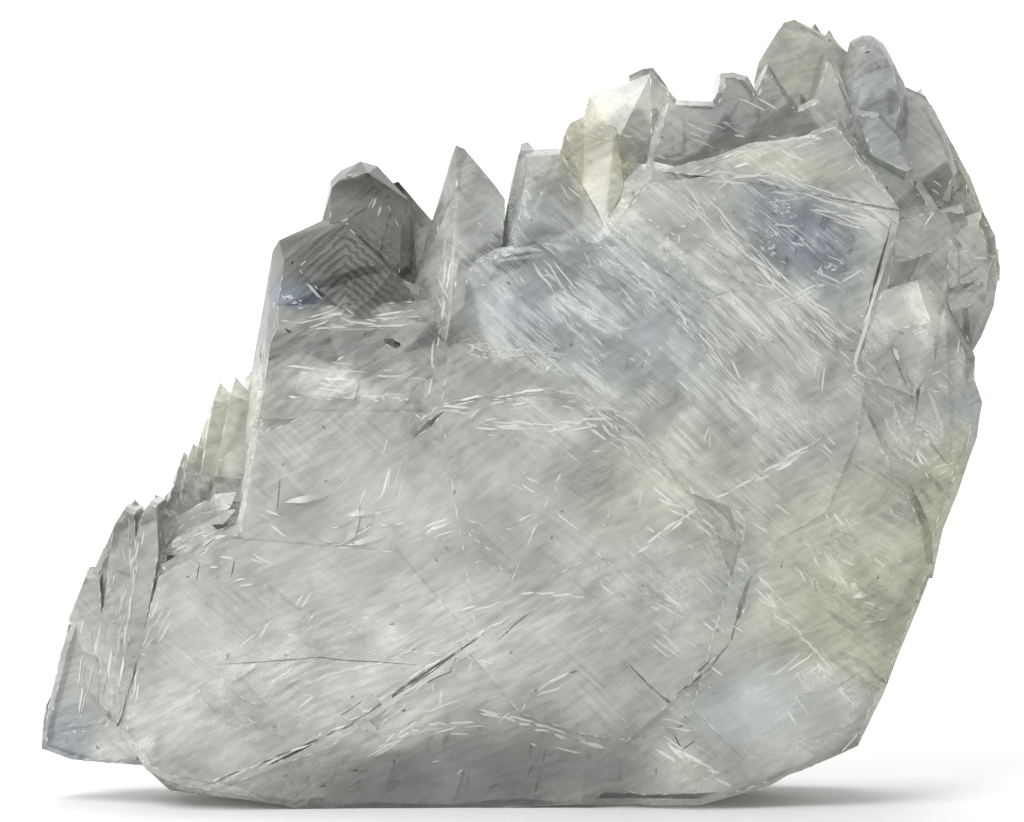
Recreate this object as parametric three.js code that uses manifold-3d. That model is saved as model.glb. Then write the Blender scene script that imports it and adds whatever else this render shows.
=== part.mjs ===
// A selenite crystal blade: one broad, thick plate of clear gypsum grown from many parallel
// tabular crystals. It stands on its broken base with its pointed ends up.
// The plate lies in the XZ plane, +X to the right and +Z up, and its broad face looks along -Y.
// All sizes are millimetres. An outline is a list of [x, z] points, and depths are y values.
import * as THREE from "three";
import { ConvexGeometry } from "three/addons/geometries/ConvexGeometry.js";
import { mergeVertices } from "three/addons/utils/BufferGeometryUtils.js";
import Module from "manifold-3d";

const wasm = await Module();
wasm.setup();

// Depths of the layers, from the viewer's side to the far side
const FACE = -15.6; // the front plate, under the slabs that make its broad cleavage face
const CORE_FRONT = -10;
const CORE_BACK = 9;
const REAR = 14.5; // the rear plates' face, under the long blades that cover it

// Gypsum's own directions in the plane of the broad face, in degrees from +X
const GROWTH = 80; // the long axis of the crystals, which their points follow
const LEDGE = 29; // the second cleavage, which ledges and cracks follow
const FEATHER = -40; // the third, which the feathery steps follow

const EMBED = 3; // how far a slab or a splinter reaches into what it grows from
const RIM = 1.7; // the chamfer around a plate

const inPlane = (degrees) =>
  new THREE.Vector2(Math.cos((degrees * Math.PI) / 180), Math.sin((degrees * Math.PI) / 180));

// A small repeatable random source, so that the steps are the same on every run
function randomSource(seed) {
  let state = seed;
  return () => {
    state = (state * 1664525 + 1013904223) % 4294967296;
    return state / 4294967296;
  };
}

function toSolid(geometry) {
  const bare = geometry.clone();
  bare.deleteAttribute("normal");
  bare.deleteAttribute("uv");
  const merged = mergeVertices(bare, 1e-4);
  return new wasm.Manifold(
    new wasm.Mesh({
      numProp: 3,
      vertProperties: merged.attributes.position.array,
      triVerts: new Uint32Array(merged.index.array),
    })
  );
}

// A flat-faced crystal from its corners, each [x, y, z]
const crystal = (corners) =>
  toSolid(new ConvexGeometry(corners.map((corner) => new THREE.Vector3(...corner))));

// A plate of any outline between two depths, with a flat chamfer around both faces
function plate(outline, front, back, rim = RIM) {
  const shape = new THREE.Shape(outline.map(([x, z]) => new THREE.Vector2(x, z)));
  const geometry = new THREE.ExtrudeGeometry(shape, {
    depth: back - front - 2 * rim,
    bevelThickness: rim,
    bevelSize: rim,
    bevelOffset: -rim,
    bevelSegments: 1,
    curveSegments: 1,
  });
  return toSolid(geometry.translate(0, 0, rim - back).rotateX(Math.PI / 2));
}

// A convex tablet whose front face is drawn in from its outline, so that its walls show from the front
function tablet(outline, front, shoulder, back, inset) {
  const middle = outline
    .reduce((sum, [x, z]) => sum.add(new THREE.Vector2(x, z)), new THREE.Vector2())
    .divideScalar(outline.length);
  const drawnIn = outline.map(([x, z]) => {
    const fromMiddle = new THREE.Vector2(x, z).sub(middle);
    return fromMiddle.multiplyScalar(1 - inset / fromMiddle.length()).add(middle);
  });
  return crystal([
    ...drawnIn.map((point) => [point.x, front, point.y]),
    ...outline.map(([x, z]) => [x, shoulder, z]),
    ...outline.map(([x, z]) => [x, back, z]),
  ]);
}

// A pointed blade hanging down from its tip along the growth axis. Its ridge lies off centre, as on a real
// point: ridge is the share of the width that lies left of the tip
function pointedBlade({ tip, width, length, front, back, lean = GROWTH, ridge = 0.4, slope = 0.9 }) {
  const up = inPlane(lean);
  const across = inPlane(lean - 90);
  const place = (along, aside, depth) => [
    tip[0] + up.x * along + across.x * aside,
    depth,
    tip[1] + up.y * along + across.y * aside,
  ];
  const shoulder = -width * slope;
  const left = -width * ridge;
  const right = width * (1 - ridge);
  const wall = (back - front) * 0.3;
  return crystal([
    place(0, 0, (front + back) / 2),
    place(shoulder * 0.6, 0, front),
    place(-length, 0, front),
    place(shoulder, left, front + wall),
    place(shoulder, left, back - wall),
    place(shoulder * 0.8, right, front + wall),
    place(shoulder * 0.8, right, back - wall),
    place(shoulder * 0.7, 0, back),
    place(-length, left, front + wall),
    place(-length, right, front + wall),
    place(-length, left, back - wall),
    place(-length, right, back - wall),
    place(-length, 0, back),
  ]);
}

// A slab of the broad face. Each corner is [x, z, height above the front plate]
const faceSlab = (corners) =>
  crystal(corners.flatMap(([x, z, height]) => [[x, FACE - height, z], [x, FACE + EMBED, z]]));

// A splinter left by cleavage, pointed at both ends: one edge stands proud and the rest sinks in
function splinter({ middle, length, width, direction, rise, face, outward = -1, embed = EMBED }) {
  const along = inPlane(direction).multiplyScalar(length / 2);
  const aside = inPlane(direction + 90).multiplyScalar(width / 2);
  const [x, z] = middle;
  const corner = (a, b, depth) => [x + a * along.x + b * aside.x, depth, z + a * along.y + b * aside.y];
  const flush = face - 0.2 * outward;
  const inner = face - embed * outward;
  const outline = [[-1, -0.3], [-0.3, -1], [0.4, -0.9], [1, 0], [0.1, 1], [-0.6, 0.5]];
  const heights = [flush, face + outward * rise, face + 0.8 * outward * rise, flush, flush, flush];
  return crystal(outline.flatMap(([a, b], i) => [corner(a, b, heights[i]), corner(a, b, inner)]));
}

// The broad front plate, which carries most of the visible face
const frontPlate = plate(
  [
    [-67, 5], [-74, 8], [-79.5, 16], [-77.5, 25], [-75, 33], [-73, 41], [-71, 49], [-64, 53], [-56, 57],
    [-53.5, 67], [-52, 76], [-47, 80], [-38, 81.5], [-28, 80.5], [-16.5, 81], [-15.5, 89], [-14.5, 96],
    [-10, 110], [-4, 111.5], [5, 113], [10.5, 112], [16, 115], [20.5, 122], [26, 128.5], [32.5, 127],
    [45, 132], [56, 133.5], [62.5, 137], [67, 131], [74.5, 119], [72, 109], [69.5, 101], [66, 93],
    [65.5, 85], [70, 77], [76, 67], [81, 57], [82, 49], [79, 41], [75.5, 33], [72, 23], [67, 13],
    [56, 8], [44, 4], [24, 3], [18, 4.5], [14, 1], [-4, 0], [-44, 0], [-54, 3],
  ],
  FACE,
  2
);
// The broad face itself: cleavage slabs that overlap a little, each with its own slight tilt
const faceSlabs = [
  [
    [-71, 47, 1.2], [-57, 54.6, 1.4], [-24, 52, 1.7], [-8, 33, 1.5], [-38, 13, 0.9], [-58, 5.4, 0.4],
    [-70, 8, 0.5], [-77.6, 16, 0.7], [-75, 32, 1.2],
  ],
  [
    [-55, 55, 1], [-51.4, 74.6, 0.9], [-40, 79.6, 1.5], [-19, 79.4, 1.9], [-2, 62, 1.5], [-22, 46, 1.2],
    [-50, 50, 1],
  ],
  [
    [-22, 76, 1.6], [-15.6, 81, 2.4], [4, 82.6, 2.6], [14, 81, 2.8], [24, 74, 2.6], [38, 57, 1.9],
    [44, 40, 0.8], [36, 28, 0.9], [20, 13, 0.6], [0, 20, 1], [-8, 32, 1.4], [-26, 52, 1.3],
  ],
  [
    [-14, 92, 1.1], [-9.6, 108, 0.2], [0, 110, 0.1], [8, 111, 0.3], [20, 112, 0.8], [39, 98, 1.5],
    [52, 80, 1.8], [44, 60, 1.8], [34, 70, 1.9], [15, 79, 1.8], [-15.4, 80, 1.5],
  ],
  [
    [18, 115, 0.1], [25, 124, 0.2], [38, 125.6, 2.4], [74, 118.4, 2.2], [71, 105, 1.3], [68, 92, 1.5],
    [69, 84.6, 1.2], [58, 93.4, 1.9], [44, 106.6, 2.1], [30, 113, 1.1],
  ],
  [
    [27, 126.6, 0.2], [45, 130.4, 0.2], [62, 135, 0.3], [66.4, 130, 0.1], [74, 119, 2], [50, 123.4, 2.6],
    [37, 125.4, 2.4],
  ],
  [
    [64.6, 86, 0.6], [69, 77, 0.3], [79, 56, 0.2], [80.4, 48, 0.2], [74, 31, 0.3], [66, 14, 0.4],
    [47, 8, 0.6], [34, 21, 0.8], [40, 39, 1.3], [47, 66, 1.8], [54, 84, 1.5],
  ],
  [
    [36, 101, 1.5], [44, 104, 1.7], [56, 93.4, 1.7], [67.6, 85, 0.9], [66, 74, 1.2], [60, 60, 1.9],
    [44, 50, 1.3], [40, 66, 1.8],
  ],
].map(faceSlab);

// The core, which every other crystal is grown into
const core = plate(
  [
    [-70, 3], [-80, 12], [-78, 30], [-70, 52], [-56, 60], [-52, 84], [-47, 100], [-30, 108], [-20, 104],
    [-8, 112], [0, 112], [12, 116], [24, 128], [45, 133], [62, 136], [76, 130], [88, 112], [90, 92],
    [88, 80], [86, 64], [80, 44], [74, 28], [68, 14], [50, 4], [36, 0], [-46, 0],
  ],
  CORE_FRONT,
  CORE_BACK
);

// The rear plates, whose pale edges show past the front plate on the right and at the lower left
const rearRight = plate(
  [
    [-16, 0], [40, 0], [58, 8], [68.5, 13.5], [72.5, 21], [76, 31], [78, 37], [82.5, 47], [85.5, 58],
    [88.5, 65], [91, 71.5], [92.5, 81], [90, 87], [91, 91], [94.5, 97], [96.5, 107], [96, 114],
    [94.5, 118], [91.5, 126], [87, 134], [83.5, 140.4], [79, 143], [70, 138], [48, 131], [32, 129],
    [16, 122], [2, 104], [-8, 92], [-14, 70],
  ],
  4,
  REAR
);
const rearLeft = plate(
  [
    [-46, 0], [-58, 3], [-74, 8], [-74, 30], [-71, 46], [-67, 60], [-60, 72], [-54, 78], [-50, 92],
    [-36, 96], [-20, 94], [-4, 84], [4, 40], [6, 0],
  ],
  1,
  12
);

// The dark, clear crystal at the upper left, with its knob and the pale side wall down its left
const leftColumn = crystal([
  [-46.5, -10.5, 109], [-43.5, -10.5, 111.5], [-34, -10, 117], [-24, -10.5, 104], [-20, -10.5, 76],
  [-51.5, -12, 76], [-53.5, -13, 60],
  [-50, -1, 108], [-49.5, -2, 111], [-48, -4, 113], [-39.5, -4, 117], [-22, -2, 110], [-17, -2, 76],
  [-51, 3, 101], [-53.5, 3, 90], [-55.5, 3, 80], [-56.5, 3, 66], [-57, 3, 58],
  [-48, 6, 112], [-38, 7, 114], [-22, 8, 108], [-18, 8, 76],
]);
const leftKnob = crystal([
  [-37.5, -6, 123.5], [-35, -6, 126], [-30, -7.5, 126.5], [-26.5, -8, 121], [-23.5, -8, 115],
  [-24, -9, 104],
  [-38, -9, 108], [-39.5, -3, 117], [-38.8, -2, 121], [-38, -1, 125], [-36, 0, 127.2], [-32, 0, 129],
  [-28.5, -1, 128], [-22, -2, 121], [-21, -2, 116.5], [-20.5, -2, 104],
  [-38, 5, 122], [-34, 6, 127], [-26, 6, 123], [-21.5, 5, 114], [-22, 6, 100], [-38, 6, 104],
]);
// The striped point on the front of that crystal, the ledge below it and the torn band under them
const stripedPoint = crystal([
  [-44, -11, 107.5], [-34.2, -12.2, 116], [-29, -13, 111], [-21, -12.2, 101.5], [-32, -14, 98],
  [-38, -13.6, 101.5],
  [-44, -8, 109], [-34, -8, 117.5], [-19.5, -8, 101], [-31, -8, 96],
]);
const paleLedge = crystal([
  [-47.5, -12.4, 99.5], [-32, -13.6, 98.2], [-20, -13.4, 101], [-16, -13.8, 96], [-47.5, -13.4, 96],
  [-49, -8, 101], [-16, -8, 102], [-16, -8, 94], [-49, -8, 94],
]);
const tornBand = crystal([
  [-51, -16.4, 78], [-49, -14.2, 93], [-47, -12.9, 97.6], [-36, -13.6, 96.4], [-22, -14.2, 97.4],
  [-13, -14.4, 96], [-12, -16.4, 79], [-20, -17.2, 78],
  [-51, -8, 78], [-48.5, -8, 96], [-13, -8, 98], [-12, -8, 78],
]);
const tornSlab = crystal([
  [-44, -17, 83], [-32.5, -17.2, 82], [-31.5, -16.2, 85], [-34, -15, 87.6], [-43, -14.6, 88.6],
  [-45, -11, 82], [-31, -11, 81], [-33, -11, 89], [-44, -11, 89.5],
]);
const paleBack = crystal([
  [-26, 3, 124.5], [-24.5, 3, 125], [-17.5, 2, 117], [-20, 1, 101], [-30, 2, 100],
  [-26, 9, 123], [-19, 10, 115], [-20, 10, 100], [-30, 9, 100],
]);

// The tall spike right of it: a pale left wall, a ridge and a worn right face
const spike = crystal([
  [-12.7, -6, 132], [-11, -6, 131.2], [-12.4, -13.5, 123], [-11.6, -15.5, 112], [-13.2, -17, 100],
  [-14.4, -17.4, 93],
  [-14, -4, 128.5], [-16.5, -4, 120], [-20, -5, 109], [-21.6, -6, 103], [-19, -9, 99], [-15, -12, 93],
  [-8, -7, 127], [-5, -8, 124], [-3, -9, 121], [-3.5, -13.5, 112], [-4, -14, 100], [-6, -15, 93],
  [-12, 3, 129], [-19, 3, 106], [-4, 3, 119], [-4, 4, 96], [-16, 4, 94],
]);

// The blue-grey point beside it, cut off square at the top
const squarePoint = crystal([
  [1.8, -11.5, 129.5], [8, -12.5, 130], [11.6, -12.8, 124.5], [18, -13.5, 113], [-1, -14.5, 112],
  [-3.6, -7, 113], [-1.5, -6, 125], [0, -6, 131], [2.5, -6, 131], [8, -7, 131.4], [12.2, -7, 124.5],
  [20, -7, 112],
  [-1, 3, 124], [1, 3, 130], [8, 3, 130], [12, 3, 122], [20, 3, 108], [-4, 3, 108], [-4, -13, 104],
  [18, -13, 104],
]);
const squareTip = crystal([
  [-0.2, -7, 130], [0.3, -6, 132.2], [1.6, -6, 132.6], [3, -7, 131], [0, -2, 130], [0.8, -2, 132],
  [3, -1, 130.5],
  [0.5, -6, 126], [3, -6, 126], [0.5, 0, 126],
]);

// The pale fin and block that stand behind it
const paleFin = crystal([
  [8.4, 2, 131], [9.2, 2, 135], [10.2, 3, 136.8], [11.6, 3, 136.8], [13, 1, 138], [19, -3, 136],
  [20.5, -9, 124], [17, -13.5, 115], [12.5, -8, 124], [8, 10, 130], [12, 11, 136], [20, 11, 136],
  [18, 6, 110], [12, 6, 116],
]);
const paleBlock = crystal([
  [13, 2, 138], [14, 3, 142], [17, 3, 143.2], [21, 3, 144.6], [26.4, 0.5, 146.6], [27.4, -1, 138],
  [26.4, -4, 133],
  [20, -4, 134], [30.5, 4, 143], [33, 4, 140], [32, 2, 132], [14, 12, 140], [19, 13, 143.5], [28, 13, 145],
  [33, 13, 139],
  [14, 12, 126], [34, 12, 128],
]);
const paleBlockCap = crystal([
  [22, 5, 146.4], [25, 4.5, 147.8], [27, 5, 148], [28.6, 5, 146], [31.5, 5, 141.5], [24, 4, 141],
  [22.5, 12, 145.5], [26.5, 11, 147.5], [31, 12, 141.5], [23, 12, 140],
]);

// The dark notched wall and its small teeth
const notchedWall = plate(
  [
    [24, 124], [26.6, 134], [29, 142.6], [31, 140.8], [38, 140.4], [39, 142.2], [39.6, 146], [42, 146.2],
    [45, 145.4], [46.6, 142.4], [49, 147.8], [52.4, 142.6], [55, 139.5], [58, 141], [60.5, 150.2],
    [63, 146], [67, 136], [66, 124],
  ],
  -11,
  5,
  1.1
);

// The tallest, pale peak at the back, and the small crystals along its top
const palePeak = crystal([
  [47.5, 5, 145], [48.4, 5, 149], [50.6, 5, 152.6], [52, 4.5, 155.2], [53.4, 5, 157.2], [55.5, 5, 157.8],
  [64, 6, 153.6], [66.5, 5, 151], [56, 1.5, 146], [57, 0.5, 136], [48, 3, 128], [68, 4, 128],
  [49, 15, 150], [53.5, 15, 156], [64, 15, 152], [68, 16, 128], [48, 16, 128],
]);

// The rounded blade at the top right and its lower lens, which points down across the face
const roundedBlade = crystal([
  [66.5, -9, 150.5], [69, -10, 151.5], [71.5, -10, 150.4], [73.6, -10, 146], [75, -10.5, 140],
  [73, -12.5, 131], [64.5, -11.5, 130],
  [62.5, -7, 139], [64, -6, 147], [65.6, -5, 152.6], [68, -5, 153.8], [70, -5, 153.8], [72.4, -5, 152],
  [74.6, -5, 148],
  [76.6, -5, 144], [78, -4, 134], [66.5, 4, 151.5], [70, 4, 153], [74, 4, 148], [77, 4, 140], [62, 4, 134],
  [77, 4, 124], [72, -8, 122],
]);
const lens = crystal([
  [66, -14.4, 137.5], [70, -15, 137], [73.6, -15.2, 133.5], [76.2, -15.6, 129], [77, -15.4, 127],
  [75.6, -15.4, 126.4],
  [69, -15.8, 129.5], [66, -10, 139], [71, -9, 139], [75, -9, 134], [78, -9, 127], [76, -9, 124.6],
  [66, -9, 130],
]);

// The nested blades down the right side
const rightInner = crystal([
  [77, -4, 141], [80.5, -4, 139], [84, -4, 133], [86.4, -5, 126], [84, -6, 121], [76, -9, 118],
  [74, -8, 128],
  [77, 0, 144], [81.4, 0, 142], [85.4, 0, 135], [88, 0, 127], [86, 0, 118], [76, 6, 141], [84, 6, 134],
  [87, 6, 124], [74, 6, 116],
]);
const rightRidge = crystal([
  [74.4, -12.6, 116.6], [82, -11.4, 119], [88, -8.4, 118.4], [89.2, -7.6, 115.6], [87.8, -7.4, 113],
  [84, -9.6, 112], [78, -12.8, 109.6], [73.6, -13.6, 110],
  [74, -3, 119], [88.6, -3, 120.4], [90.4, -3, 115.4], [88, -3, 111], [73, -3, 107],
]);
const rightMiddle = plate(
  [
    [71, 94], [70, 106], [73, 112], [84, 116], [92, 119], [94.6, 114], [95.4, 107], [94.4, 100],
    [92, 94], [88.6, 88], [82, 84], [72, 84],
  ],
  -8.6,
  8,
  2.2
);
const rightStrips = [
  crystal([
    [84.6, -9.8, 111.4], [95, -7.4, 110.4], [95.6, -6.8, 106.6], [84.8, -10.6, 103.6],
    [84, -5, 113], [96, -3, 111.4], [96.2, -3, 105], [84, -5, 101],
  ]),
  crystal([
    [84.4, -11, 101.6], [94.4, -7.8, 106], [93.4, -7.4, 102.4], [85.6, -10.6, 98.4],
    [84, -5, 103], [95, -3, 106.6], [94.6, -3, 101], [85, -5, 96],
  ]),
];
const rightDarkTooth = crystal([
  [80, -10.4, 112], [84.4, -10.4, 112.6], [85, -9.4, 101], [80.6, -10.6, 99.6], [77, -11, 105],
  [79, -5, 114], [86.4, -5, 113.6], [86.4, -5, 99], [77, -5, 98],
]);
const rightLower = plate(
  [
    [62, 94], [66, 100], [72, 104], [79, 105.4], [84, 100], [88, 95], [90, 90], [89.8, 86], [91.6, 81],
    [90.6, 74], [87, 64], [84, 56], [82, 46], [70, 46], [62, 60],
  ],
  -13.4,
  6,
  2
);
const rightShoulder = crystal([
  [83.6, -15.2, 100], [79.4, -15.4, 92], [78, -15.6, 78], [85, -13.4, 68], [88, -12.4, 84], [90, -11.4, 90],
  [84.4, -8, 100.6], [90.6, -6, 90.6], [90.8, -6, 82], [86, -6, 64], [77, -8, 72], [79, -8, 96],
]);

// The bright block on the right: a sloping front face, a narrow lit side and a darker face below
const brightBlock = crystal([
  [70.6, -17.8, 103], [77.6, -17, 105.2], [79.8, -20.8, 97.2], [67.8, -20.4, 94.4],
  [78.8, -14.6, 105.2], [82.4, -15.6, 98], [82.6, -15.8, 95.4], [81.4, -17.4, 93.6],
  [66.4, -18.8, 90.2], [81.4, -16.4, 89.2], [77.2, -15.6, 82.6], [68, -17.4, 86],
  [70.6, -10, 103], [79, -10, 105.4], [83, -10, 96], [78, -10, 82], [66, -10, 88],
]);
const blockNeedle = crystal([
  [72, -20.4, 92.4], [73, -19.6, 92.6], [77.8, -16.4, 82], [76.6, -17.8, 83.6], [74, -19.4, 87.4],
  [75.2, -18.6, 88.4],
  [73, -14, 92], [77, -13, 82],
]);

// The lower left wing: a thin plate and the upright ridges where it meets the main plate
const wing = plate(
  [
    [-95.8, 11.4], [-95.6, 15], [-93.6, 23], [-91, 33], [-88.4, 40], [-86.2, 44.6], [-84, 49.4],
    [-81, 55], [-79, 57.4], [-74, 57], [-70, 50], [-68, 20], [-74, 8], [-82, 8.4], [-90, 9.2],
  ],
  -9.5,
  6,
  1.2
);
const wingRidges = [
  [
    [-75, 58.5], [-73, 61.6], [-71.5, 61], [-71, 52], [-72.5, 41], [-75, 32], [-79.5, 17], [-81, 18],
    [-79, 33], [-77, 41],
  ],
  [
    [-80.4, 57], [-78.3, 60.2], [-76.2, 59.4], [-75.5, 50], [-77, 41], [-79, 32], [-81.5, 21], [-83, 24],
    [-83, 41],
  ],
].map((outline, step) => tablet(outline, -14.8 + 2.2 * step, -12.4 + 2.2 * step, 0, 0.7));
const wingBlade = crystal([
  [-80, -13.8, 47.6], [-76.2, -14.6, 46], [-77.4, -15, 33], [-80.6, -14.4, 19.6], [-83.4, -12.4, 21],
  [-83.6, -11.4, 38],
  [-81, -8, 48], [-75, -8, 47], [-80, -8, 18], [-84.6, -8, 22],
]);
const wingFlap = crystal([
  [-90, -8.6, 37.5], [-86.4, -10.6, 46], [-83.4, -11.6, 46], [-82.6, -12.2, 30], [-87, -10.2, 31],
  [-91, -5, 37], [-86.4, -5, 47.6], [-82.4, -5, 48], [-82, -5, 28],
]);
const footCrystal = crystal([
  [-95.4, -6, 12], [-92, -9.4, 15], [-84, -12, 15.6], [-79, -12.6, 17.6], [-76, -13, 10], [-88, -9.4, 9.4],
  [-95.6, -2, 11.4], [-88, -3, 8.6], [-74, -3, 8], [-76, -3, 22], [-92, -3, 20],
]);

// Rows of small points that make the stepped left edge: the tips, from the lowest up
const WING_TIPS = [
  [-94.2, 23], [-91.4, 33.4], [-90, 38.6], [-87.8, 42.6], [-86, 47.2], [-84, 51.2], [-82, 55],
  [-80.2, 58.2], [-77.8, 60.9], [-73.2, 62.1],
];
const SIDE_TIPS = [
  [-70.8, 62], [-69.6, 66], [-68.4, 70.2], [-66.2, 72], [-64.2, 74.8], [-62.6, 79.6], [-60.8, 84.4],
  [-57.6, 85.4],
];
const steppedEdges = [
  ...WING_TIPS.map((tip, i) =>
    pointedBlade({ tip, width: 5, length: 8 + i, front: -8 + (i % 3), back: 4 - 2 * (i % 2), ridge: 0.16 })
  ),
  ...SIDE_TIPS.map((tip, i) =>
    pointedBlade({ tip, width: 6, length: 20, front: 1.6 * (i % 3) - 4, back: 11 - 2 * (i % 2), ridge: 0.16 })
  ),
];
// The layered, torn shelf where the side crystals meet the front plate
const shelf = [
  { middle: [-63, 58.6], length: 15, width: 5, direction: 17 },
  { middle: [-63.5, 56.4], length: 16, width: 5, direction: 25 },
  { middle: [-64.4, 54.2], length: 15, width: 4.6, direction: 22 },
  { middle: [-60, 60.6], length: 9, width: 4, direction: 34 },
].map((layer, step) => splinter({ ...layer, rise: 1.6, face: -9.4 - 1.7 * (step % 3) }));

// Small crystals along the high rear edges
const REAR_TIPS = [
  { tip: [17.6, 143.8], width: 5, length: 14, front: 4, back: 11 },
  { tip: [11.2, 137.6], width: 4.4, length: 16, front: 3.4, back: 9 },
  { tip: [60.2, 157.4], width: 5.4, length: 14, front: 6, back: 13 },
  { tip: [63, 156], width: 4, length: 14, front: 5, back: 12 },
  { tip: [57.4, 157], width: 5, length: 14, front: 7, back: 14 },
  { tip: [81.6, 143.9], width: 9, length: 22, front: 1, back: 12, ridge: 0.8 },
  { tip: [86.6, 134.9], width: 9, length: 24, front: 3, back: 13, ridge: 0.86 },
  { tip: [91, 127.4], width: 8, length: 24, front: 2, back: 14, ridge: 0.86 },
  { tip: [94.2, 119.2], width: 8, length: 22, front: 4, back: 15, ridge: 0.86 },
];

// The far side: long pointed blades side by side, each standing further out or back than the next.
// The longest run down to the foot
const FAR_BLADES = [
  { tip: [24, 138.6], width: 30, length: 150, front: 5, back: 22, ridge: 0.55, slope: 0.6 },
  { tip: [4.4, 122], width: 22, length: 132, front: 4, back: 18.6, ridge: 0.35 },
  { tip: [42, 139], width: 20, length: 118, front: 5, back: 19.4, ridge: 0.4 },
  { tip: [57, 146], width: 20, length: 112, front: 4, back: 21.4, ridge: 0.55, slope: 0.8 },
  { tip: [73, 143], width: 19, length: 104, front: 5, back: 18.4, ridge: 0.4 },
  { tip: [86.4, 131], width: 17, length: 90, front: 5, back: 20.4, lean: 78, ridge: 0.6 },
  { tip: [93.4, 112], width: 15, length: 66, front: 5, back: 17.6, lean: 76, ridge: 0.7 },
  { tip: [-10, 104], width: 20, length: 116, front: 3, back: 21, ridge: 0.6 },
  { tip: [-25, 108.6], width: 22, length: 98, front: 3, back: 17.6, ridge: 0.4, slope: 0.7 },
  { tip: [-42, 101], width: 20, length: 88, front: 3, back: 19.6, ridge: 0.55 },
  { tip: [-54, 84.6], width: 18, length: 66, front: 2, back: 16.4, ridge: 0.35 },
  { tip: [-67.4, 67], width: 15, length: 54, front: 1, back: 13.6, ridge: 0.5 },
];

const SLABS = FACE - 1.5; // where most of the slabs' faces lie
// Zones of feathery steps: where each lies, how far it spreads, and which way its steps run
const STEP_ZONES = [
  {
    middle: [17, 62], spread: [26, 19], count: 24, directions: [FEATHER, FEATHER, LEDGE], length: [8, 22],
    width: [1.6, 4], rise: [0.4, 0.9], face: SLABS,
  },
  {
    middle: [20, 97], spread: [24, 13], count: 20, directions: [FEATHER - 6, FEATHER + 4], length: [9, 24],
    width: [1.6, 4], rise: [0.5, 1.1], face: SLABS + 0.4,
  },
  {
    middle: [-34, 30], spread: [30, 16], count: 16, directions: [LEDGE, LEDGE, FEATHER], length: [8, 20],
    width: [1.6, 4], rise: [0.3, 0.7], face: SLABS + 0.3,
  },
  {
    middle: [-36, 64], spread: [14, 11], count: 9, directions: [LEDGE, 8], length: [6, 15],
    width: [1.4, 3.4], rise: [0.3, 0.7], face: SLABS + 0.2,
  },
  {
    middle: [62, 42], spread: [11, 20], count: 18, directions: [FEATHER, FEATHER + 8, LEDGE - 12],
    length: [7, 18], width: [1.4, 3.4], rise: [0.5, 1.1], face: SLABS + 1,
  },
  {
    middle: [52, 110], spread: [16, 8], count: 14, directions: [FEATHER + 16, FEATHER + 8],
    length: [10, 24], width: [1.6, 4], rise: [0.5, 1.2], face: SLABS,
  },
  {
    middle: [80, 76], spread: [4, 14], count: 9, directions: [FEATHER, FEATHER - 14, GROWTH],
    length: [4, 10], width: [1.2, 2.6], rise: [0.5, 1.2], face: -13.2,
  },
  {
    middle: [22, 70], spread: [40, 36], count: 22, directions: [GROWTH, LEDGE], length: [10, 26],
    width: [2, 5], rise: [0.4, 1.4], face: 18, outward: 1, embed: 6,
  },
];
const STEP_SEED = 20;

function featherSteps(zones) {
  const random = randomSource(STEP_SEED);
  const between = ([low, high]) => low + (high - low) * random();
  const pick = (list) => list[Math.floor(random() * list.length)];
  return zones.flatMap((zone) =>
    Array.from({ length: zone.count }, () => {
      const angle = 2 * Math.PI * random();
      const reach = Math.sqrt(random());
      return splinter({
        middle: [
          zone.middle[0] + zone.spread[0] * reach * Math.cos(angle),
          zone.middle[1] + zone.spread[1] * reach * Math.sin(angle),
        ],
        length: between(zone.length),
        width: between(zone.width),
        direction: pick(zone.directions) + 8 * (random() - 0.5),
        rise: between(zone.rise),
        face: zone.face,
        outward: zone.outward,
        embed: zone.embed,
      });
    })
  );
}

// What has been broken or worn away. Each hollow is cut from in front of the face
const FRONT_AIR = FACE - 14;
// The big shell-shaped chip along the front of the base, which leaves dark, downward facets
const baseChip = crystal([
  [-61, FACE, 3], [-46, FACE, 7.4], [-30, FACE, 12.6], [-14, FACE, 17.6], [3, FACE, 17.4], [17, FACE, 14.6],
  [30, FACE, 9], [40, FACE, 3], [48, FACE, -3],
  [-61, FRONT_AIR, 4], [-36, FRONT_AIR, 16], [-14, FRONT_AIR, 24], [4, FRONT_AIR, 23], [28, FRONT_AIR, 15],
  [50, FRONT_AIR, -1],
  [-54, -12, -3], [-34, -10.8, -3], [-12, -10.2, -3], [12, -10.6, -3], [30, -12, -3], [-26, -12.8, 6],
  [-4, -12.6, 8], [14, -13, 6],
]);
const rightChip = crystal([
  [26, FACE, 1.5], [40, FACE, 9], [58, FACE, 13], [72, FACE, 20], [82, FACE, 6],
  [26, FRONT_AIR, 1.5], [50, FRONT_AIR, 15], [84, FRONT_AIR, 22], [84, FRONT_AIR, 0],
  [34, -13, -3], [54, -12, 2], [80, -12, 10],
]);
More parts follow.
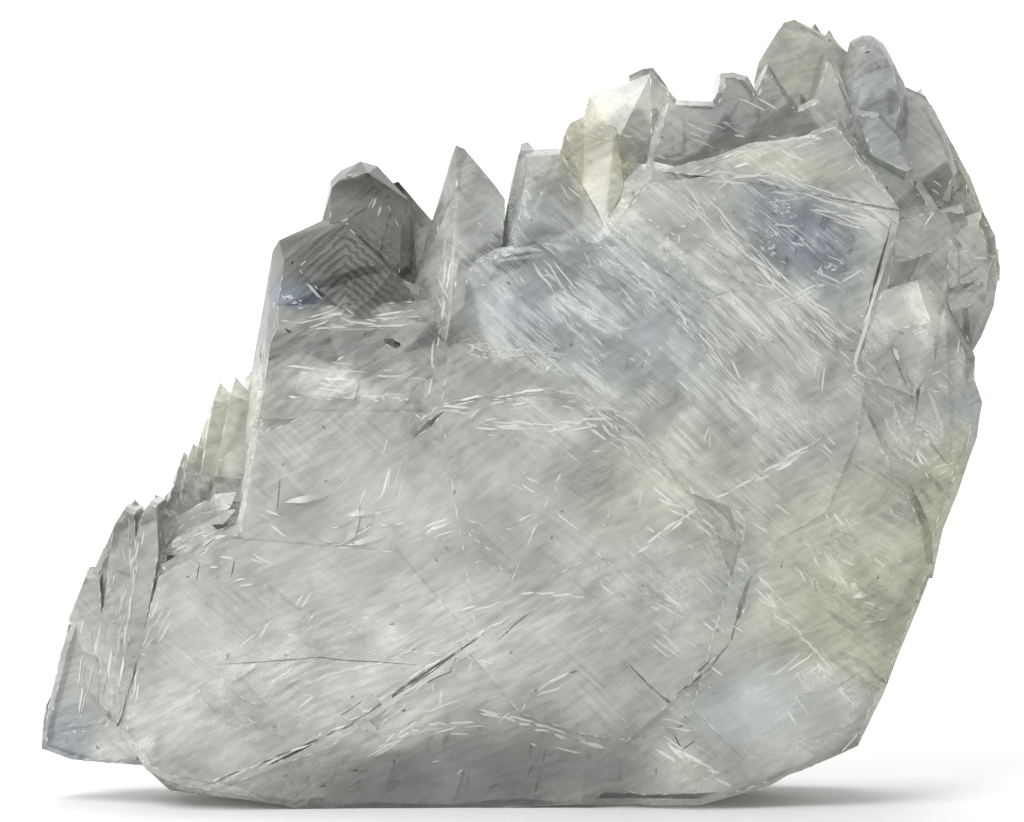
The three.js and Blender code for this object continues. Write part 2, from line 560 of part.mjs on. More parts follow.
const hollows = [
  // the dark pocket in the torn band
  crystal([
    [-30.5, FRONT_AIR, 95], [-21.6, FRONT_AIR, 94.8], [-21.4, FRONT_AIR, 91.6], [-25.4, FRONT_AIR, 89.4],
    [-29, FRONT_AIR, 91],
    [-26, -10.6, 93.4], [-24, -10.8, 92.4],
  ]),
  // the small triangular hole at the column's left
  crystal([
    [-47.4, FRONT_AIR, 96.6], [-43.6, FRONT_AIR, 94.8], [-45.8, FRONT_AIR, 93.6], [-46, -9.6, 95.6],
    [-45.2, -9.6, 95],
  ]),
  // the slit above the left wing
  crystal([
    [-70.6, FRONT_AIR, 50.4], [-64.6, FRONT_AIR, 53.4], [-64.6, FRONT_AIR, 52], [-70, FRONT_AIR, 49.6],
    [-67.4, -14, 51.4],
  ]),
  // the pit at the foot of the ridges
  crystal([
    [-81.4, FRONT_AIR, 19.4], [-78.4, FRONT_AIR, 18], [-78.6, FRONT_AIR, 14.6], [-81, FRONT_AIR, 15],
    [-79.8, -9.6, 17],
  ]),
  // the pocket beside the rounded blade
  crystal([
    [70.6, FRONT_AIR, 127.4], [74.6, FRONT_AIR, 126], [75, FRONT_AIR, 120.4], [72, FRONT_AIR, 119.6],
    [69.4, FRONT_AIR, 122.6],
    [72.6, -8.4, 123.4],
  ]),
  // the recess behind that blade's lower point
  crystal([
    [77, FRONT_AIR, 126.6], [79.4, FRONT_AIR, 126], [78.8, FRONT_AIR, 120.6], [76.8, FRONT_AIR, 120.8],
    [78.2, -6.4, 124.4],
  ]),
  // the small round hollow below it
  crystal([
    [74.6, FRONT_AIR, 119], [76.4, FRONT_AIR, 119], [76.8, FRONT_AIR, 116.4], [74.8, FRONT_AIR, 116.2],
    [75.6, -9, 117.6],
  ]),
];
// Long open cracks, as narrow V grooves from point to point
const CRACKS = [
  { from: [-58, 5.6], to: [-34, 17], depth: 1.5, width: 1.3 },
  { from: [-36, 16.2], to: [-6, 36.6], depth: 1.3, width: 1.1 },
  { from: [-14.4, 80], to: [-21.4, 74], depth: 1, width: 1.4 },
  { from: [25, 27], to: [34, 17.4], depth: 1.1, width: 1.1 },
  { from: [40.6, 33.4], to: [31, 24], depth: 1.2, width: 1 },
  { from: [45.4, 47], to: [42, 36], depth: 1.4, width: 2 },
  { from: [67, 96], to: [73.4, 120], depth: 1, width: 0.7 },
];
const grooves = CRACKS.map(({ from, to, depth, width }) => {
  const along = new THREE.Vector2(to[0] - from[0], to[1] - from[1]);
  const aside = new THREE.Vector2(-along.y, along.x).setLength(width / 2);
  const middle = [(from[0] + to[0]) / 2, (from[1] + to[1]) / 2];
  const edge = ([x, z], side, y) => [x + side * aside.x, y, z + side * aside.y];
  const rim = (y) => [edge(from, 0, y), edge(to, 0, y), edge(middle, 1, y), edge(middle, -1, y)];
  return crystal([...rim(SLABS), ...rim(FRONT_AIR), edge(middle, 0, SLABS + depth)]);
});

const grown = [
  frontPlate, ...faceSlabs, core, rearRight, rearLeft,
  leftColumn, leftKnob, stripedPoint, paleLedge, tornBand, tornSlab, paleBack,
  spike, squarePoint, squareTip, paleFin, paleBlock, paleBlockCap, notchedWall, palePeak,
  roundedBlade, lens, rightInner, rightRidge, rightMiddle, ...rightStrips, rightDarkTooth,
  rightLower, rightShoulder, brightBlock, blockNeedle,
  wing, ...wingRidges, wingBlade, wingFlap, footCrystal, ...steppedEdges, ...shelf,
  ...REAR_TIPS.map(pointedBlade), ...FAR_BLADES.map(pointedBlade),
  ...featherSteps(STEP_ZONES),
];
const lost = [baseChip, rightChip, ...hollows, ...grooves];

// The specimen is cut level where it was broken from its matrix, and stands on that cut
const CUT_WIDTH = 300; // wider and deeper than the specimen
const CUT_HEIGHT = 40;
const floorCut = toSolid(
  new THREE.BoxGeometry(CUT_WIDTH, CUT_WIDTH, CUT_HEIGHT).translate(0, 0, -CUT_HEIGHT / 2)
);

const joined = grown.reduce((whole, next) => whole.add(next));
const shaped = lost.reduce((whole, next) => whole.subtract(next), joined).subtract(floorCut);

const made = shaped.getMesh();
const geometry = new THREE.BufferGeometry();
geometry.setAttribute("position", new THREE.BufferAttribute(new Float32Array(made.vertProperties), 3));
geometry.setIndex(new THREE.BufferAttribute(new Uint32Array(made.triVerts), 1));
geometry.computeVertexNormals();

// The origin is the middle of the box at the level of the base
geometry.computeBoundingBox();
const box = geometry.boundingBox;
geometry.translate(-(box.min.x + box.max.x) / 2, -(box.min.y + box.max.y) / 2, -box.min.z);

const selenite = new THREE.MeshStandardMaterial({
  name: "selenite",
  color: 0xb6b9b1,
  roughness: 0.25,
  metalness: 0,
  transparent: true,
  opacity: 0.55,
  flatShading: true,
});
const blade = new THREE.Mesh(geometry, selenite);
blade.name = "crystal_blade";

const specimen = new THREE.Group();
specimen.add(blade);
export default specimen;
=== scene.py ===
"""The selenite blade's finish: a broad plate of clear, silky gypsum that stands on its broken base.

The solid crystal gets the thousands of slivers, steps and nicks that cleavage leaves on gypsum, and a
see-through material with milky feathers along two of the directions in which the mineral parts.
"""

import math
import random

import bmesh
import bpy
import numpy
from mathutils import Matrix, Vector, noise
from mathutils.bvhtree import BVHTree


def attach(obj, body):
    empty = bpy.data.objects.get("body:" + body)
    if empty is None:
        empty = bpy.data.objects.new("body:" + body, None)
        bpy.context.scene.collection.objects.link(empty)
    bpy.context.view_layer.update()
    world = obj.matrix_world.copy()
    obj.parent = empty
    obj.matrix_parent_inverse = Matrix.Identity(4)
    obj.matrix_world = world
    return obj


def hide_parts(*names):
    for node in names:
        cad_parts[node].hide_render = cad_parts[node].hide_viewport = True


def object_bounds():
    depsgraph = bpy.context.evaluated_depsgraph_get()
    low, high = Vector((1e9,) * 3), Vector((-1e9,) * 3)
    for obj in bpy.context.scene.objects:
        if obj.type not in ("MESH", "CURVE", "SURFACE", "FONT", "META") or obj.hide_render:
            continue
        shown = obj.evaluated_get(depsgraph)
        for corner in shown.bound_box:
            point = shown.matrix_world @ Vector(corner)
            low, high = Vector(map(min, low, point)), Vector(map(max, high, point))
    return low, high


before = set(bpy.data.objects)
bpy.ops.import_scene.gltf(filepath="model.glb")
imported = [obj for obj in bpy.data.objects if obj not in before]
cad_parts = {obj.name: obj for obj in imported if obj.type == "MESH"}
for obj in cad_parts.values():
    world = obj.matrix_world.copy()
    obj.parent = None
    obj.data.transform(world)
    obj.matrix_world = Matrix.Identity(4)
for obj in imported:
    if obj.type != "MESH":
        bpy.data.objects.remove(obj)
crystal_low, crystal_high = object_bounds()

MM = 0.001
SEED = 8
noise.seed_set(SEED)

# Gypsum's own directions on the broad face, in degrees from +X
GROWTH = 80
LEDGE = 29
FEATHER = -40

# The photograph's frame, and how large the specimen is in it
IMAGE_WIDTH = 1024
PIXEL = 0.2 * MM
LENS = 100 * MM
SENSOR = 36 * MM
AIM = Vector((-1.6, -6, 79)) * MM
ELEVATION = math.radians(3)


def in_plane(degrees):
    angle = math.radians(degrees)
    return Vector((math.cos(angle), 0, math.sin(angle)))


def add_object(name, data):
    thing = bpy.data.objects.new(name, data)
    bpy.context.scene.collection.objects.link(thing)
    return thing


def to_mesh(name, shape):
    mesh = bpy.data.meshes.new(name)
    shape.to_mesh(mesh)
    shape.free()
    return mesh


# Body of the crystal

# The longest edges that each round of dividing leaves alone
EDGE_LIMITS = (9 * MM, 6 * MM, 4 * MM)
# How far the faces rise and fall, in millimetres, and over which distance
SWELL_RISE = 0.22
SWELL_SIZE = 14 * MM
RIPPLE_RISE = 0.07
RIPPLE_SIZE = 4.5 * MM
RIPPLE_SHIFT = Vector((3.1, 7.7, 1.3))
# Below this the foot stays level
LEVEL = 0.05 * MM
# Corners that show past the outline in the photo: where each is in x and z, how far round it the
# points move, and by how much, all in millimetres
PULLED_IN = [
    {"at": (74.3, 25.5), "reach": 0.6, "by": (-2.0, 0)},
    {"at": (82.4, 47), "reach": 0.8, "by": (-1.1, 0.3)},
]


def pull_in_corners(shape):
    for corner in PULLED_IN:
        (x, z), (right, up) = corner["at"], corner["by"]
        for vertex in shape.verts:
            if math.hypot(vertex.co.x / MM - x, vertex.co.z / MM - z) < corner["reach"]:
                vertex.co += Vector((right, 0, up)) * MM


def plain_body():
    """A closed copy of the solid crystal, with its long edges divided so that its faces can undulate."""
    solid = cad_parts["crystal_blade"].data.copy()
    solid.attributes.remove(solid.attributes["custom_normal"])
    shape = bmesh.new()
    shape.from_mesh(solid)
    bmesh.ops.remove_doubles(shape, verts=shape.verts, dist=1e-7)
    pull_in_corners(shape)
    for longest in EDGE_LIMITS:
        long_edges = [edge for edge in shape.edges if edge.calc_length() > longest]
        bmesh.ops.subdivide_edges(shape, edges=long_edges, cuts=1)
        bmesh.ops.triangulate(shape, faces=shape.faces)
    return shape


def undulate(shape):
    """Lets the flat faces rise and fall a little, inside the solid's own box and level at the foot."""
    shape.normal_update()
    moves = []
    for vertex in shape.verts:
        slow = noise.noise(vertex.co / SWELL_SIZE)
        fine = noise.noise(vertex.co / RIPPLE_SIZE + RIPPLE_SHIFT)
        moves.append(vertex.normal * (SWELL_RISE * slow + RIPPLE_RISE * fine) * MM)
    for vertex, move in zip(shape.verts, moves):
        vertex.co = kept_inside(vertex.co + move, vertex.co.z)


def kept_inside(point, height):
    if height < LEVEL:
        point.z = height
    return Vector(min(max(point[i], crystal_low[i]), crystal_high[i]) for i in range(3))


# Ridges, flakes and nicks

BODY = 0
# Material index of the white finish: partly bruised gypsum, partly painted highlight on ridges, edges and
# glints
WORN_AND_HIGHLIT = 1
# A line stays on its face while the surface is this near and turns no more than this
ON_FACE = 0.3 * MM
SAME_FACE = 0.93
# How much of its width a flake slants along its length, how thick it is and how deep it is set
SLANT = 0.45
FLAKE_THICKNESS = 0.17 * MM
FLAKE_DEPTH = 0.1 * MM
# No ridge or flake starts this near to the foot, and no nick or white edge this near
FOOT_MARGIN = 2.5 * MM
BARE_FOOT = 2 * MM
# The room that a fine piece keeps round itself
ROOM = 1.6 * MM


def across_of(along, normal):
    return normal.cross(along).normalized()


def traced(surface, middle, along, normal, length, bend, rings, rng):
    """Points on the surface along a gently waving line, or None where the line leaves its face."""
    across = across_of(along, normal)
    phase = rng.uniform(0, 2 * math.pi)
    spots = []
    for i in range(rings + 1):
        share = -math.cos(math.pi * i / rings) / 2
        sway = bend * math.sin(phase + share * length / MM)
        spot, facing, index, far = surface.find_nearest(middle + along * (length * share) + across * sway)
        if spot is None or far > ON_FACE or facing.dot(normal) < SAME_FACE:
            return None
        spots.append(spot)
    return spots


def ridge(shape, spots, along, normal, width, height, lean=0, material=WORN_AND_HIGHLIT):
    """A narrow ridge through the given points, pointed at both ends, whose crest leans to one side."""
    across = across_of(along, normal)
    rings = len(spots) - 1
    made = bmesh.ops.create_uvsphere(shape, u_segments=4, v_segments=rings, radius=1)
    for vertex in made["verts"]:
        ring = round(math.acos(max(-1, min(1, -vertex.co.z))) / math.pi * rings)
        aside, up = vertex.co.x * width / 2, vertex.co.y * height
        vertex.co = spots[ring] + across * (aside + lean * width / 2 * vertex.co.y) + normal * up
        for face in vertex.link_faces:
            face.material_index = material


def flake(shape, middle, along, normal, length, width, tilt):
    """A thin lamella left by cleavage: one long edge stands proud and the other sinks in."""
    turned = Matrix.Rotation(tilt, 3, along)
    up = turned @ normal
    slant = across_of(along, up) + along * SLANT
    columns = Matrix((along * (length / 2), slant * (width / 2), up * FLAKE_THICKNESS)).transposed().to_4x4()
    columns.translation = middle
    bmesh.ops.create_cube(shape, size=2, matrix=columns)


# How the fine steps run on the broad face: the middle and reach of each zone in millimetres from the
# foot's middle, the direction of its steps, how crowded they are and how high they stand
FACE_ZONES = [
    {"middle": (12, 68), "reach": (26, 14), "along": -28, "spread": 12, "crowd": 1.4, "rise": 1.0},
    {"middle": (34, 52), "reach": (22, 20), "along": FEATHER, "spread": 8, "crowd": 1.0, "rise": 0.7},
    {"middle": (14, 98), "reach": (24, 14), "along": -48, "spread": 10, "crowd": 1.9, "rise": 1.2},
    {"middle": (56, 116), "reach": (24, 12), "along": -20, "spread": 10, "crowd": 1.3, "rise": 1.0},
    {"middle": (52, 82), "reach": (22, 16), "along": -44, "spread": 6, "crowd": 0.9, "rise": 0.6},
    {"middle": (66, 34), "reach": (16, 24), "along": -54, "spread": 14, "crowd": 1.2, "rise": 0.8},
    {"middle": (-30, 26), "reach": (40, 18), "along": LEDGE, "spread": 22, "crowd": 0.7, "rise": 0.5},
    {"middle": (-36, 62), "reach": (20, 14), "along": 10, "spread": 40, "crowd": 0.8, "rise": 0.6},
    {"middle": (-34, 88), "reach": (18, 8), "along": -2, "spread": 14, "crowd": 2.0, "rise": 1.3},
    {"middle": (-34, 108), "reach": (16, 12), "along": LEDGE, "spread": 30, "crowd": 0.5, "rise": 0.5},
    {"middle": (-82, 30), "reach": (14, 28), "along": GROWTH, "spread": 12, "crowd": 1.6, "rise": 0.9},
    {"middle": (-60, 78), "reach": (5, 10), "along": -55, "spread": 10, "crowd": 2.0, "rise": 1.2},
    {"middle": (-64, 64), "reach": (10, 20), "along": 20, "spread": 24, "crowd": 1.8, "rise": 1.0},
    {"middle": (82, 98), "reach": (12, 20), "along": 14, "spread": 20, "crowd": 1.6, "rise": 1.0},
    {"middle": (82, 66), "reach": (10, 16), "along": 72, "spread": 24, "crowd": 1.6, "rise": 1.0},
    {"middle": (0, 8), "reach": (50, 8), "along": 6, "spread": 34, "crowd": 0.8, "rise": 1.0},
]


def zone_at(point):
    """The zone whose middle is nearest, measured in its own reach."""
    def distance(zone):
        return math.hypot(
            (point.x / MM - zone["middle"][0]) / zone["reach"][0],
            (point.z / MM - zone["middle"][1]) / zone["reach"][1],
        )
    return min(FACE_ZONES, key=distance)


def surface_samples(shape, count, rng):
    """Random places spread evenly over the surface: each a point and its face's normal."""
    faces = list(shape.faces)
    total = 0
    ladder = []
    for face in faces:
        total += face.calc_area()
        ladder.append(total)
    for face in rng.choices(faces, cum_weights=ladder, k=count):
        a, b, c = (vertex.co for vertex in face.verts)
        u, v = sorted((rng.random(), rng.random()))
        yield a * u + b * (v - u) + c * (1 - v), face.normal.copy()


NEIGHBOURS = [(i, j, k) for i in (-1, 0, 1) for j in (-1, 0, 1) for k in (-1, 0, 1)]


class Batch:
    """Fine pieces that stay clear of each other, to be joined to the crystal or cut from it in one go."""

    def __init__(self):
        self.shape = bmesh.new()
        self.taken = set()

    def takes(self, middle, along, length):
        """Whether a piece has room here. If it has, its place is taken from now on."""
        steps = max(1, math.ceil(length / ROOM))
        points = [middle + along * (length * (i / steps - 0.5)) for i in range(steps + 1)]
        own = {tuple(round(value / ROOM) for value in point) for point in points}
        near = {(x + i, y + j, z + k) for x, y, z in own for i, j, k in NEIGHBOURS}
        if near & self.taken:
            return False
        self.taken |= own
        return True


def batch_with_room(batches, middle, along, length):
    return next((batch for batch in batches if batch.takes(middle, along, length)), None)


def heading(degrees, normal):
    """The direction in the surface that comes closest to one in the plane of the broad face."""
    wish = in_plane(degrees)
    along = wish - normal * wish.dot(normal)
    return along.normalized() if along.length > 0.3 else None


def lay_ridge(surface, rng, batches, middle, degrees, normal, length, width, height, rings=3):
    """Puts one ridge on the surface where its line stays on its face and has room."""
    along = heading(degrees, normal)
    if along is None or middle.z < FOOT_MARGIN:
        return
    for tried in (length, length * 0.4):
        spots = traced(surface, middle, along, normal, tried, rng.uniform(0.05, 0.35) * MM, rings, rng)
        if spots:
            batch = batch_with_room(batches, middle, along, tried)
            if batch:
                ridge(batch.shape, spots, along, normal, width, height, rng.choice((-0.8, 0, 0.8)))
            return


def lay_flake(surface, rng, batches, middle, along, normal, length, width):
    """Puts one thin flake on the surface where all its corners stay on its face and it has room."""
    slant = (across_of(along, normal) + along * SLANT) * (width / 2)
    for side in (slant, -slant):
        if not traced(surface, middle + side, along, normal, length, 0, 2, rng):
            return
    batch = batch_with_room(batches, middle, along, length)
    if batch:
        tilt = math.radians(rng.uniform(4, 11)) * rng.choice((-1, 1))
        flake(batch.shape, middle - normal * FLAKE_DEPTH, along, normal, length, width, tilt)


# A face whose normal has less of Y than the first is a side, and one with more than the second is a back
SIDE = 0.5
BACK = 0.3
# The share of the front's pieces that follow a cleavage instead of their zone
STRAY_SHARE = 0.1


def zone_heading(zone, normal, rng):
    """The direction of a fine piece, in degrees: its zone's on the front, and a cleavage elsewhere."""
    if abs(normal.y) < SIDE:
        return GROWTH + rng.gauss(0, 8)
    if normal.y > BACK:
        return rng.choice((GROWTH, GROWTH, LEDGE, FEATHER)) + rng.gauss(0, 6)
    if rng.random() < STRAY_SHARE:
        return rng.choice((GROWTH, LEDGE, FEATHER)) + rng.gauss(0, 4)
    return rng.gauss(zone["along"], zone["spread"])


def scatter_families(shape, surface, count, rng, batches):
    """Groups of ridges that run side by side, most crowded where the face is most torn."""
    for place, normal in surface_samples(shape, count, rng):
        zone = zone_at(place)
        if rng.random() > zone["crowd"] / 2:
            continue
        degrees = zone_heading(zone, normal, rng)
        along = heading(degrees, normal)
        if along is None:
            continue
        across = across_of(along, normal)
        span = rng.uniform(2.5, 8)
        for i in range(rng.choice((1, 1, 2, 3, 5))):
            middle = place + (across * (i * rng.uniform(0.8, 1.5)) + along * rng.gauss(0, 2)) * MM
            length = span * rng.uniform(0.5, 1.2) * MM
            width = rng.uniform(0.22, 0.5) * MM
            height = rng.uniform(0.08, 0.2) * zone["rise"] * MM
            lay_ridge(surface, rng, batches, middle, degrees + rng.gauss(0, 2), normal, length, width, height)


def scatter_flecks(shape, surface, count, rng, batches):
    """Single short slivers and thin flakes in every direction."""
    for place, normal in surface_samples(shape, count, rng):
        zone = zone_at(place)
        degrees = zone_heading(zone, normal, rng) + rng.gauss(0, 20)
        along = heading(degrees, normal)
        if place.z < FOOT_MARGIN or along is None or rng.random() > zone["crowd"] / 2:
            continue
        if rng.random() < 0.8:
            length, width = rng.uniform(0.8, 2.2) * MM, rng.uniform(0.2, 0.45) * MM
            lay_ridge(surface, rng, batches, place, degrees, normal, length, width, 0.12 * MM, rings=2)
        else:
            length, width = rng.uniform(1, 3.4) * MM, rng.uniform(0.4, 1.4) * MM
            lay_flake(surface, rng, batches, place, along, normal, length, width)


SHARP = math.radians(30)
# How many sharp edges stay plain, and how long and how deep the white ridges of bruise and painted highlight
# are
PLAIN_EDGE_SHARE = 0.56
SHORTEST_WHITE_EDGE = 1.2 * MM
WHITE_EDGE_DEPTH = 0.06 * MM


def wear_and_highlight_edges(shape, rng, batches):
    """Thin white ridges along the sharp edges: gypsum bruises there first, and the white also paints the
    edges' highlight.
    """
    for edge in shape.edges:
        if not edge.is_convex or edge.calc_face_angle(0) < SHARP or rng.random() < PLAIN_EDGE_SHARE:
            continue
        start, end = (vertex.co for vertex in edge.verts)
        length = (end - start).length * rng.uniform(0.7, 1.0)
        if length < SHORTEST_WHITE_EDGE or min(start.z, end.z) < BARE_FOOT:
            continue
        along = (end - start).normalized()
        normal = sum((face.normal for face in edge.link_faces), Vector()).normalized()
        middle = (start + end) / 2 - normal * WHITE_EDGE_DEPTH
        batch = batch_with_room(batches, middle, along, length)
        if batch:
            spots = [middle + along * (length * share) for share in (-0.5, 0, 0.5)]
            width = rng.uniform(0.25, 0.5) * MM
            ridge(batch.shape, spots, along, normal, width, rng.uniform(0.1, 0.16) * MM)


# Long ledges on the broad face: the points of each in x and z, in millimetres, how many rows of ridges
# follow it, and how much higher, wider and longer than usual they are
LEDGES = [
    # The long torn ledge over the middle, and the one under it
    {
        "line": [(-16, 81), (-6, 82.6), (4, 84), (10, 83), (18, 80), (26, 73), (34, 64)],
        "rows": 4, "rise": 1.5,
    },
    {"line": [(-8, 78), (6, 77), (14, 78), (22, 72)], "rows": 3},
    {"line": [(-13.6, 109.4), (-15.4, 96), (-17.8, 81.6)], "rows": 2, "rise": 1.2},
    # Torn bands at the upper right
    {"line": [(24, 131.6), (33, 126.4), (45, 131), (56, 133), (62, 136)], "rows": 2},
    {"line": [(36, 127), (46, 127.4), (60, 122), (74, 118.6)], "rows": 7, "long": 1.7},
    {"line": [(62, 136), (68, 127), (75, 121)], "rows": 2},
    {"line": [(36, 122), (46, 111), (56, 102), (67, 94)], "rows": 6, "long": 1.8},
    {"line": [(39.8, 113), (50, 103.6), (58.4, 96.4)], "rows": 1, "rise": 1.6, "long": 2.5},
    {"line": [(18, 110), (30, 101), (41, 87), (52, 74)], "rows": 3, "rise": 1.2},
    {"line": [(20, 116), (28, 104), (38, 94), (46, 82)], "rows": 3},
    {"line": [(4, 108), (12, 100), (20, 96)], "rows": 3, "rise": 0.8},
    {"line": [(76.2, 126.4), (71, 108), (66, 90)], "rows": 2, "width": 1.6, "long": 2.6},
    {"line": [(50, 101), (60, 104.6), (66, 108)], "rows": 2, "rise": 0.8},
    # Bright arcs and flakes under the block at the right
    {"line": [(71.6, 92.6), (74.6, 89), (77.2, 83)], "rows": 1, "rise": 1.6, "width": 2.0, "long": 2.0},
    {"line": [(79.8, 83.8), (82.2, 78)], "rows": 1, "rise": 1.6, "width": 2.0, "long": 2.0},
    {"line": [(84, 97), (88, 91), (91, 85)], "rows": 1, "rise": 1.2, "long": 2.0},
    {"line": [(66, 92), (72, 84), (78, 78)], "rows": 2, "rise": 1.2},
    {"line": [(74, 80), (76, 74), (80, 70)], "rows": 4, "rise": 1.2, "width": 1.2},
    {"line": [(62, 93), (66, 88), (70, 85)], "rows": 3},
    # Lower right
    {"line": [(28, 64), (36, 58), (44, 50), (52, 42)], "rows": 3, "rise": 0.8},
    {"line": [(22, 52), (34, 60), (52, 70), (60, 75)], "rows": 2, "rise": 0.7},
    {"line": [(48, 42), (58, 33), (66, 22)], "rows": 2, "rise": 0.8},
    {"line": [(60, 52), (68, 42), (76, 38)], "rows": 2, "rise": 0.8},
    {"line": [(30, 14), (36, 10), (42, 6)], "rows": 4, "rise": 0.8, "width": 1.2},
    # Lower left, along the long crack and over the painted shade at the foot
    {"line": [(-61, 6), (-46, 12), (-34, 18), (-20, 28), (-6, 37)], "rows": 2, "rise": 0.9},
    {"line": [(-40, 27), (-20, 32), (-4, 30)], "rows": 1, "rise": 0.6},
    {"line": [(-12, 40), (4, 44), (12, 43)], "rows": 1, "rise": 0.6},
    {"line": [(-30, 12), (-22, 17), (-10, 18)], "rows": 3, "rise": 0.8, "width": 1.1},
    {"line": [(-6, 20), (6, 17), (18, 12)], "rows": 2, "rise": 0.8},
    # Upright ridges on the wing at the left
    {"line": [(-74.4, 60), (-77, 40), (-80, 17)], "rows": 4, "rise": 1.4, "long": 1.4},
    {"line": [(-80, 50), (-84, 34), (-88, 16)], "rows": 2, "long": 1.4},
    {"line": [(-70, 52), (-64, 54.6), (-57, 58)], "rows": 4, "rise": 1.6},
    # The dark column: pale lines round its striped face, its ledge and the torn slab below
    {"line": [(-47, 114), (-40, 115.6), (-34.3, 117.4)], "rows": 1},
    {"line": [(-33.6, 116.8), (-28, 110.6), (-22.6, 104.6)], "rows": 2, "rise": 1.4, "long": 2.0},
    {"line": [(-44.4, 106), (-40, 102.4), (-35.8, 98.6)], "rows": 1, "rise": 1.4, "long": 2.0},
    {"line": [(-47, 97), (-38, 98.4), (-30, 98), (-18, 99.6)], "rows": 3, "rise": 1.2, "long": 1.6},
    {"line": [(-44.4, 88), (-36, 87), (-32, 84)], "rows": 5, "long": 1.4},
    {"line": [(-46, 82.4), (-34, 82), (-24.8, 82.6)], "rows": 1, "rise": 1.4},
    {"line": [(-28, 86.6), (-20, 86)], "rows": 1, "rise": 1.4},
    {"line": [(-9.6, 93), (-2, 91.6), (8, 91)], "rows": 3, "rise": 1.2},
]
# Cracks, given the same way, with their width in millimetres
CRACKS = [
    {"line": [(-62, 5.6), (-46, 12), (-34, 17.4), (-20, 26.4), (-6, 36.6)], "width": 0.4},
    {"line": [(-36, 19), (-28, 24.6), (-20, 28.4)], "width": 0.3},
    {"line": [(-22, 24), (-14, 28), (-12.6, 31), (-20, 28)], "width": 0.3},
    {"line": [(-12, 30), (-4, 35), (2, 40)], "width": 0.3},
    {"line": [(41, 33.6), (37.5, 29), (33.4, 25.4), (31, 24)], "width": 0.4},
    {"line": [(45.4, 47), (43.6, 41), (41.6, 35)], "width": 0.6},
    {"line": [(22.2, 28.8), (28, 23), (34, 18)], "width": 0.35},
    {"line": [(29.7, 16.4), (31.9, 12.6), (35.3, 14.8), (32.4, 17.4), (29.7, 16.4)], "width": 0.35},
    {"line": [(29.7, 20.7), (31.9, 18), (34, 18.5)], "width": 0.35},
    {"line": [(-58, 29.6), (-40, 31), (-22, 29.8)], "width": 0.25},
    {"line": [(-47, 66), (-47.8, 60)], "width": 0.35},
    {"line": [(-63, 49.4), (-63.6, 46.4)], "width": 0.35},
    {"line": [(-56, 50), (-56.8, 47)], "width": 0.35},
    {"line": [(-31, 62), (-32.4, 54)], "width": 0.3},
    {"line": [(67.4, 97), (70.4, 108), (73.2, 119)], "width": 0.4},
]


# From ridge to ridge along a ledge, and from row to row, in millimetres
LEDGE_STEP = 3
ROW_SPACING = 0.8
# The broad side's faces have a normal with less of Y than this
FRONT_TURN = -0.4
IN_FRONT = -100 * MM


def points_along(line, step, rng):
    """Places every step or so along a broken line, each with the line's heading there."""
    for (x0, z0), (x1, z1) in zip(line, line[1:]):
        stretch = math.hypot(x1 - x0, z1 - z0)
        degrees = math.degrees(math.atan2(z1 - z0, x1 - x0))
        for i in range(max(1, round(stretch / step))):
            share = (i + rng.random()) * step / stretch
            yield x0 + (x1 - x0) * share, z0 + (z1 - z0) * share, degrees


def on_front(surface, x, z):
    """The place on the broad side at this x and z, and its normal, or nothing where it turns away."""
    place, normal, index, far = surface.ray_cast(Vector((x * MM, IN_FRONT, z * MM)), Vector((0, 1, 0)))
    return (place, normal) if place is not None and normal.y < FRONT_TURN else (None, None)


def lay_ledges(surface, rng, batches):
    for ledge in LEDGES:
        for row in range(ledge["rows"]):
            longer = ledge.get("long", 1)
            for x, z, degrees in points_along(ledge["line"], LEDGE_STEP * longer, rng):
                if row and rng.random() < 0.35:
                    continue
                aside = in_plane(degrees + 90) * (rng.gauss(0, 0.15 + 0.1 * row) - ROW_SPACING * row)
                place, normal = on_front(surface, x + aside.x, z + aside.z)
                if place:
                    turn = degrees + rng.gauss(0, 3 + 3 * row)
                    length = rng.uniform(2.6, 6) * longer * MM
                    width = rng.uniform(0.25, 0.6) * ledge.get("width", 1) * MM
                    height = rng.uniform(0.12, 0.28) * ledge.get("rise", 1) * MM
                    lay_ridge(surface, rng, batches, place, turn, normal, length, width, height)


# Clusters of painted glints, tiny ridges in the white finish: the middle and reach of each, in millimetres,
# and how many
GLINTS = [
    {"middle": (-5, 91), "reach": (5, 1.2), "count": 34},
    {"middle": (4, 88.6), "reach": (4, 1), "count": 16},
    {"middle": (52, 119), "reach": (2.4, 2.4), "count": 20},
    {"middle": (49, 112), "reach": (2, 4), "count": 18},
    {"middle": (61, 108), "reach": (3, 1), "count": 12},
    {"middle": (-45, 101), "reach": (2, 1.6), "count": 12},
    {"middle": (20, 116), "reach": (6, 3), "count": 24},
    {"middle": (30, 111), "reach": (4, 5), "count": 24},
    {"middle": (80, 74), "reach": (3, 4), "count": 16},
    {"middle": (-26, 82), "reach": (6, 1), "count": 14},
    {"middle": (-84, 60), "reach": (3, 5), "count": 16},
    {"middle": (-60, 62), "reach": (6, 3), "count": 24},
]


# Where small blocky plates lie: along a line, so many, up to so far from it
PLATES = [
    {"line": [(-40, 15), (-20, 27), (-4, 38)], "count": 46, "reach": 2.4, "along": LEDGE},
    {"line": [(24, 26), (36, 15)], "count": 16, "reach": 3, "along": FEATHER},
    {"line": [(-46, 84), (-32, 84)], "count": 12, "reach": 2, "along": 0},
    {"line": [(-70, 54), (-56, 58)], "count": 24, "reach": 4, "along": 20},
    {"line": [(-20, 74), (10, 74)], "count": 14, "reach": 4, "along": -20},
    {"line": [(72, 88), (82, 76)], "count": 16, "reach": 4, "along": -60},
]


